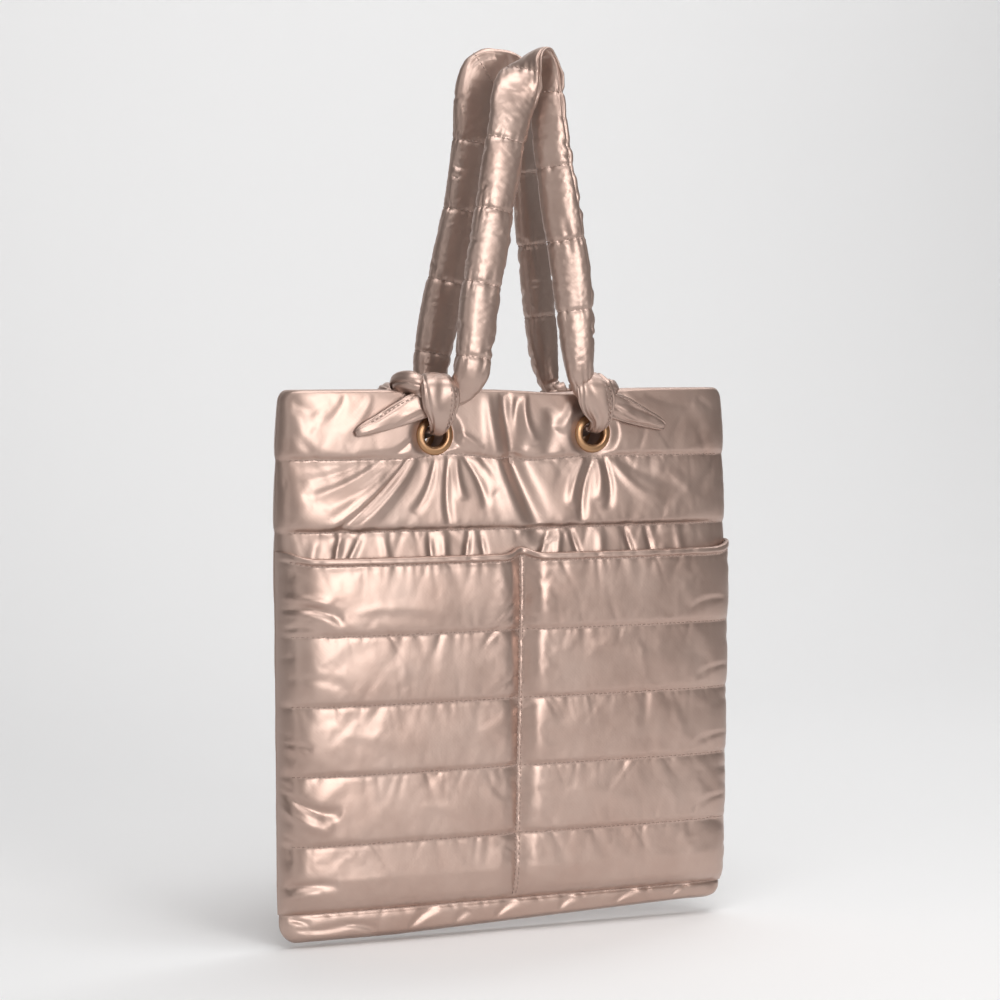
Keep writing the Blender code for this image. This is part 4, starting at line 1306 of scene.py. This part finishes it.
BACK_ARCH = (
    # across, rise, forward, wide, thick, turn, tip
    (-1.68, -0.010, 0.80, 0.44, 0.50, 0, -62),
    (-1.40, -0.020, 0.82, 0.48, 0.52, 0, -52),
    (-1.16, -0.004, 0.90, 0.64, 0.64, 4, -30),
    (-1.04, 0.050, 1.02, 0.88, 0.92, 4, -6),
    (-0.98, 0.120, 1.03, 0.98, 1.00, 0, 0),
    (-0.80, 0.290, 1.00, 1.00, 1.00, 0, 0),
    (-0.62, 0.430, 1.00, 0.96, 1.00, 0, 0),
    (-0.44, 0.590, 1.00, 0.94, 0.96, 6, 0),
    (-0.30, 0.760, 0.97, 1.02, 0.86, 4, 0),
    (-0.25, 0.875, 0.94, 1.12, 0.74, 4, -18),
    (-0.13, 0.952, 0.88, 1.14, 0.62, 8, -46),
    (0.10, 0.968, 0.80, 1.02, 0.54, 22, -52),
    (0.38, 0.972, 0.70, 0.88, 0.48, 48, -34),
    (0.60, 0.950, 0.68, 0.76, 0.52, 58, 0),
    (0.62, 0.790, 0.86, 0.86, 0.84, 40, 0),
    (0.76, 0.530, 0.97, 0.92, 0.94, 26, 0),
    (0.90, 0.330, 1.00, 0.92, 0.96, 18, 0),
    (1.00, 0.180, 1.02, 0.88, 0.92, 12, 0),
    (1.06, 0.085, 1.03, 0.74, 0.84, 8, 4),
    (1.12, 0.012, 0.94, 0.54, 0.66, 4, 28),
    (1.24, -0.012, 0.84, 0.46, 0.54, 0, 50),
    (1.38, -0.008, 0.80, 0.44, 0.50, 0, 62),
)
KNOT_STRAP = (
    # across, up, layer, wide, thick, turn, tip
    (1.17, -0.06, 1.00, 0.80, 0.50, 0, 62),
    (1.31, 0.14, 0.82, 1.00, 0.90, 30, 40),
    (1.38, 0.20, 0.44, 1.02, 0.90, 20, 20),
    (1.33, 0.02, 0.04, 0.90, 0.44, 0, 0),
    (1.16, -0.46, 0.00, 0.80, 0.35, 0, 0),
    (1.03, -0.78, 0.02, 0.76, 0.35, 0, 0),
    (1.00, -0.90, 0.32, 0.72, 0.35, 0, 0),
    (1.00, -0.90, 0.62, 0.72, 0.36, 0, 0),
)
KNOT_BAND = (
    # across, up, layer, wide, thick, turn, tip
    (1.00, -0.90, 0.40, 0.70, 0.34, 0, 0),
    (1.00, -0.90, 0.90, 0.74, 0.38, 0, 0),
    (1.01, -0.68, 1.66, 1.16, 0.44, 0, 0),
    (1.04, -0.30, 2.00, 1.74, 0.50, 0, 0),
    (1.06, 0.08, 2.00, 1.76, 0.50, 0, 0),
    (1.05, 0.28, 1.30, 1.40, 0.40, 0, 0),
    (1.05, 0.22, 1.00, 1.20, 0.34, 0, 0),
)
KNOT_TAIL = (
    # across, up, layer, wide, thick, turn, tip
    (1.06, -0.28, 1.16, 1.10, 0.46, 0, 80),
    (1.26, -0.36, 1.02, 1.24, 0.46, 0, 74),
    (1.52, -0.56, 1.00, 1.08, 0.40, 0, 70),
    (1.78, -0.78, 1.00, 0.74, 0.32, 0, 66),
    (1.94, -0.90, 1.00, 0.50, 0.24, 0, 64),
    (2.00, -0.94, 1.00, 0.26, 0.12, 0, 64),
)
KNOT_SIDES = (
    # side, lean, reach, lift, top of the loop over the edge
    (-1, 0.00, 1.00, 0.00, 0.15),
    (1, -0.19, 0.90, 0.08, -0.04),
)
KNOT_PARTS = (
    # table, ribs, rise of a rib, squareness
    (KNOT_STRAP, 12, 0.0013, 2.2),
    (KNOT_BAND, 22, 0.0014, 2.3),
    (KNOT_TAIL, 14, 0.0012, 2.2),
)
handle_cloth = cloth_material("rose nylon handles", STRAP_CRINKLE_SCALE, CLOTH_COLOUR, CLOTH_PALE)


def through(rows, places):
    """Rows of a table read at places between them, on a smooth curve."""
    rows = np.array(rows, dtype=float)
    step = np.minimum(places.astype(int), len(rows) - 2)
    part = (places - step)[:, None]
    before = rows[np.maximum(step - 1, 0)]
    low = rows[step]
    high = rows[step + 1]
    after = rows[np.minimum(step + 2, len(rows) - 1)]
    bend = 2 * before - 5 * low + 4 * high - after
    twist = 3 * low - before - 3 * high + after
    return (2 * low + (high - before) * part + bend * part**2 + twist * part**3) / 2


def evenly(rows, step):
    """A route's rows (x, y, z, wide, thick, turn, tip) read about one step apart."""
    places = np.linspace(0, len(rows) - 1, 40 * (len(rows) - 1) + 1)
    points = through(rows, places)
    run = np.concatenate([[0], np.cumsum(np.linalg.norm(np.diff(points[:, :3], axis=0), axis=1))])
    count = max(round(run[-1] / step), 4)
    lengths = np.linspace(0, run[-1], count + 1)
    return through(rows, np.interp(lengths, run, places)), lengths


def strap_grid(stations, side_x, side_y, sides, square):
    """Rings of a strap along its route: station, then place around, then x, y, z."""
    centre = stations[:, :3]
    heading = np.gradient(centre, axis=0)
    heading /= np.linalg.norm(heading, axis=1, keepdims=True)
    turn = np.radians(stations[:, 5])
    tip = np.radians(stations[:, 6])
    width = np.stack(
        [np.cos(tip) * np.cos(turn) * side_x, np.cos(tip) * np.sin(turn) * side_y, np.sin(tip)], axis=1
    )
    width -= heading * np.sum(width * heading, axis=1, keepdims=True)
    width /= np.linalg.norm(width, axis=1, keepdims=True)
    up = np.cross(heading, width)
    angle = 2 * math.pi * np.arange(sides) / sides
    cosine = np.sign(np.cos(angle)) * np.abs(np.cos(angle)) ** (2 / square)
    sine = np.sign(np.sin(angle)) * np.abs(np.sin(angle)) ** (2 / square)
    wide = stations[:, 3, None, None] / 2 * cosine[None, :, None] * width[:, None, :]
    thick = stations[:, 4, None, None] / 2 * sine[None, :, None] * up[:, None, :]
    return centre[:, None, :] + wide + thick


def ring_faces(rings, sides):
    """Quads around a tube's grid."""
    index = np.arange(rings * sides).reshape(rings, sides)
    following = np.roll(index, -1, axis=1)
    return np.stack([index[:-1], following[:-1], following[1:], index[1:]], axis=-1).reshape(-1, 4)


def tube_mesh_data(grid, offset):
    """Points and faces of a closed tube with its end rings capped."""
    rings, sides = grid.shape[:2]
    first, last = rings * sides, rings * sides + 1
    last_ring = (rings - 1) * sides
    points = np.concatenate([grid.reshape(-1, 3), grid[:1].mean(axis=1), grid[-1:].mean(axis=1)])
    caps = [(first, (i + 1) % sides, i) for i in range(sides)]
    caps += [(last, last_ring + i, last_ring + (i + 1) % sides) for i in range(sides)]
    faces = [tuple(corner + offset for corner in face) for face in ring_faces(rings, sides).tolist() + caps]
    return points, faces


def tube_normals(grid):
    """Normals of a tube's grid."""
    along = np.gradient(grid, axis=0)
    around = np.roll(grid, -1, axis=1) - np.roll(grid, 1, axis=1)
    normal = np.cross(around, along)
    normal /= np.maximum(np.linalg.norm(normal, axis=2, keepdims=True), 1e-12)
    outward = np.sum(normal * (grid - grid.mean(axis=1, keepdims=True)), axis=2).mean()
    return normal if outward > 0 else -normal


def clear_of_panel(x, down, half_thick):
    """Distance from the middle plane at which a strap lies on a panel."""
    across = np.clip(x / BAG_HALF, -1.0, 1.0)
    down = np.clip(down, MOUTH_SHARE * TOP_CHANNEL, TOP_CHANNEL / 2)
    return float(hollow_depth(across, down)) + STRAP_REST_WALL + KNOT_GAP + half_thick


def arch_rows(table, side):
    """An arch's rows in metres, kept clear of the panel where its feet pass in front of it."""
    rows = []
    forward_place = MOUTH_DEPTH / 2 + STRAP_REST_WALL + STRAP_THICK / 2 + HANDLE_STANDOFF
    for across, rise, forward, wide, thick, turn, tip in table:
        x = across * HANDLE_SPREAD / 2
        z = rise * HANDLE_RISE
        y = forward * forward_place
        if z < TOP_CHANNEL / 4:
            y = max(y, clear_of_panel(x, -z, thick * STRAP_THICK / 2))
        rows.append((x, side * y, z, wide * STRAP_WIDTH, thick * STRAP_THICK, turn, tip))
    return rows


def knot_rows(table, side_x, side_y, lean, reach, lift, loop_top):
    """A knot table's rows in metres, in the layers that it passes through."""
    rows = []
    for across, up, layer, wide, thick, turn, tip in table:
        if side_y > 0:
            up = min(up, BACK_KNOT_TOP)
            plugging = up < PLUG_BELOW and layer < PLUG_LAYERS
            wide, thick = BACK_PLUG if plugging else (wide, thick)
        if table is KNOT_STRAP:
            up = min(up, loop_top)
        leaning = lean * min(max((up + LEAN_FROM) / LEAN_FROM, 0.0), 1.0)
        outward = (across - 1.0) * reach + 1.0 if reach else across
        x = (outward + leaning) * GROMMET_SPREAD / 2
        z = (up + lift * max(across - TAIL_FROM, 0.0)) * GROMMET_DEPTH
        half = thick * GROMMET_BORE / 2
        inside = float(hollow_depth(x / BAG_HALF, max(-z, 0.0))) - KNOT_GAP - half
        tucked = clear_of_panel(x, -z, half)
        over = tucked + 2 * half + KNOT_GAP / 4
        y = inside + (tucked - inside) * min(layer, 1.0) + (over - tucked) * max(layer - 1.0, 0.0)
        rows.append((side_x * x, side_y * y, z, wide * GROMMET_BORE, thick * GROMMET_BORE, turn, tip))
    return rows


def smooth_noise(shape, scales, seed):
    """Even, smooth random values over a tube's grid, wrapping around it."""
    random = np.random.default_rng(seed)
    rows, columns = shape
    coarse_rows = max(round(rows / scales[0]), 3)
    coarse_columns = max(round(columns / scales[1]), 3)
    coarse = random.normal(0.0, 1.0, (coarse_rows + 3, coarse_columns))
    row_place = np.linspace(0, coarse_rows, rows)
    column_place = np.arange(columns) * coarse_columns / columns
    row = row_place.astype(int)
    column = column_place.astype(int)
    beside = (column + 1) % coarse_columns
    row_part = row_place - row
    column_part = column_place - column
    row_part = (row_part * row_part * (3 - 2 * row_part))[:, None]
    column_part = (column_part * column_part * (3 - 2 * column_part))[None, :]
    low = coarse[row][:, column] * (1 - column_part) + coarse[row][:, beside] * column_part
    high = coarse[row + 1][:, column] * (1 - column_part) + coarse[row + 1][:, beside] * column_part
    return low * (1 - row_part) + high * row_part


def arch_grid(name, table, side, seed):
    """The long padded tube, pinched at its cross seams and gathered along its closing seam."""
    stations, lengths = evenly(arch_rows(table, side), STRAP_STEP)
    share = (lengths - STRAP_FIRST_SEAM) / STRAP_PITCH % 1.0
    full = STRAP_PINCH + (1.0 - STRAP_PINCH) * puff(share)
    stations[:, 3] *= full
    stations[:, 4] *= full
    grid = strap_grid(stations, 1, side, STRAP_SIDES, STRAP_SQUARENESS)
    random = np.random.default_rng(seed)
    seams = np.arange(STRAP_FIRST_SEAM, lengths[-1], STRAP_PITCH)
    seam_rows = [int(np.argmin(np.abs(lengths - seam))) for seam in seams]
    sewn = np.zeros(grid.shape[:2], dtype=bool)
    sewn[seam_rows] = True
    sewn[:, 0] = True
    sewn[:6] = sewn[-6:] = True
    jitter = np.where(sewn, 0.0, random.normal(0, 0.0001, sewn.shape))
    start = grid + tube_normals(grid) * jitter[..., None]
    faces = ring_faces(*grid.shape[:2])
    moved = settled(name, start, start * ARCH_CUT, faces, sewn, ARCH_PRESSURE, ARCH_BENDING) - start
    grid = start + wrinkles_of(moved)
    wrapped = np.concatenate([grid[:, -3:], grid, grid[:, :3]], axis=1)
    grid = finer(finer(wrapped, 1)[:, 6:-5], 0)
    lengths = np.interp(np.arange(len(grid)) / 2, np.arange(len(lengths)), lengths)
    around = 2 * STRAP_SIDES
    angle = 2 * math.pi * np.arange(around) / around
    rise = np.zeros(grid.shape[:2])
    for row in seam_rows:
        away = np.abs(lengths - lengths[2 * row])[:, None]
        rise -= STRAP_GROOVE * np.exp(-((away / 0.0020) ** 2))
        for _ in range(STRAP_TEETH):
            place = random.uniform(0, 2 * math.pi)
            reach = random.uniform(0.004, 0.011)
            apart = np.angle(np.exp(1j * (angle - place)))[None, :]
            rise -= random.uniform(0.0003, 0.0011) * np.exp(-away / reach - (apart / 0.10) ** 2)
    for _ in range(STRAP_DARTS):
        place = random.choice((0.0, math.pi)) + random.normal(0.0, 0.45)
        station = random.uniform(0.0, lengths[-1])
        slant = random.normal(0.0, 0.004)
        apart = np.angle(np.exp(1j * (angle - place)))[None, :]
        along = (lengths - station)[:, None] - slant * apart
        half = random.uniform(0.0016, 0.0034)
        depth = random.uniform(0.0005, 0.0017)
        rise -= depth * np.exp(-((along / half) ** 2) - (apart / random.uniform(0.22, 0.55)) ** 2)
    closing = np.angle(np.exp(1j * angle))[None, :]
    gathers = smooth_noise((len(lengths), around), (6, around), seed + 2)
    rise += (0.0008 + 0.0006 * gathers) * np.exp(-((closing / 0.16) ** 2))
    rise -= 0.0014 * np.exp(-(((np.abs(closing) - 0.34) / 0.10) ** 2))
    ends = np.clip(np.minimum(lengths, lengths[-1] - lengths) / 0.01, 0.0, 1.0)[:, None]
    grid = grid + tube_normals(grid) * (rise * ends)[..., None]
    return grid, [2 * row for row in seam_rows]


def knot_grid(rows, side_x, side_y, seed, ribs, rib_rise, square):
    """A stretch of strap pulled tight in a knot, with wrinkles along it."""
    stations, lengths = evenly(rows, KNOT_STEP)
    grid = strap_grid(stations, side_x, side_y, KNOT_SIDES_AROUND, square)
    random = np.random.default_rng(seed)
    angle = 2 * math.pi * np.arange(KNOT_SIDES_AROUND) / KNOT_SIDES_AROUND
    rise = np.zeros(grid.shape[:2])
    for rib in range(ribs):
        place = random.uniform(0, 2 * math.pi) + 0.25 * np.sin(lengths * random.uniform(30, 90) + rib)
        apart = np.angle(np.exp(1j * (angle[None, :] - place[:, None])))
        middle = random.uniform(0.15, 0.85) * lengths[-1]
        reach = random.uniform(0.3, 0.7) * lengths[-1]
        fade = np.exp(-(((lengths - middle) / reach) ** 2))[:, None]
        rib_half = random.uniform(0.10, 0.22)
        rise -= rib_rise * random.uniform(0.4, 1.0) * fade * np.exp(-((apart / rib_half) ** 2))
    rise += 0.25 * rib_rise * smooth_noise(grid.shape[:2], (8, 5), seed + 1)
    return grid + tube_normals(grid) * rise[..., None]


for handle_name, handle_node, arch_table, handle_side, handle_seed in (
    ("front_padded_handle", "handle_front", FRONT_ARCH, -1, 21),
    ("back_padded_handle", "handle_back", BACK_ARCH, 1, 31),
):
    handle_points = []
    handle_faces = []
    arch, arch_seams = arch_grid(handle_node, arch_table, handle_side, handle_seed)
    grids = [arch]
    arch_normals = tube_normals(arch)
    closed = np.r_[0 : arch.shape[1], 0]
    handle_stitches = [(arch[row][closed], arch_normals[row][closed]) for row in arch_seams[:-1]]
    for knot_x, knot_lean, knot_reach, knot_lift, loop_top in KNOT_SIDES:
        for knot_table, ribs, rib_rise, square in KNOT_PARTS:
            handle_seed += 3
            reach, lift = (knot_reach, knot_lift) if knot_table is KNOT_TAIL else (1.0, 0.0)
            metres = knot_rows(knot_table, knot_x, handle_side, knot_lean, reach, lift, loop_top)
            knot = knot_grid(metres, knot_x, handle_side, handle_seed, ribs, rib_rise, square)
            grids.append(knot)
            knot_normals = tube_normals(knot)
            if knot_table is KNOT_BAND:
                for seam_place in BAND_STITCHES:
                    outward_place = 0.5 - 0.25 * knot_x * handle_side
                    place = round((outward_place - handle_side * seam_place) * KNOT_SIDES_AROUND)
                    handle_stitches.append((knot[8:-8, place], knot_normals[8:-8, place]))
            if knot_table is KNOT_TAIL:
                place = round((0.5 + TAIL_STITCH * knot_x * handle_side) * KNOT_SIDES_AROUND)
                handle_stitches.append((knot[4:-6, place], knot_normals[4:-6, place]))
    offset = 0
    for tube in grids:
        tube_points, tube_faces = tube_mesh_data(tube, offset)
        handle_points.append(tube_points)
        handle_faces += tube_faces
        offset += len(tube_points)
    handle = mesh_object(
        handle_name, place_in_frame(np.concatenate(handle_points)), handle_faces, handle_cloth
    )
    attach(handle, "root")
    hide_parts(handle_node)
    add_stitches(f"{handle_name}_stitches", handle_stitches, thread_material)
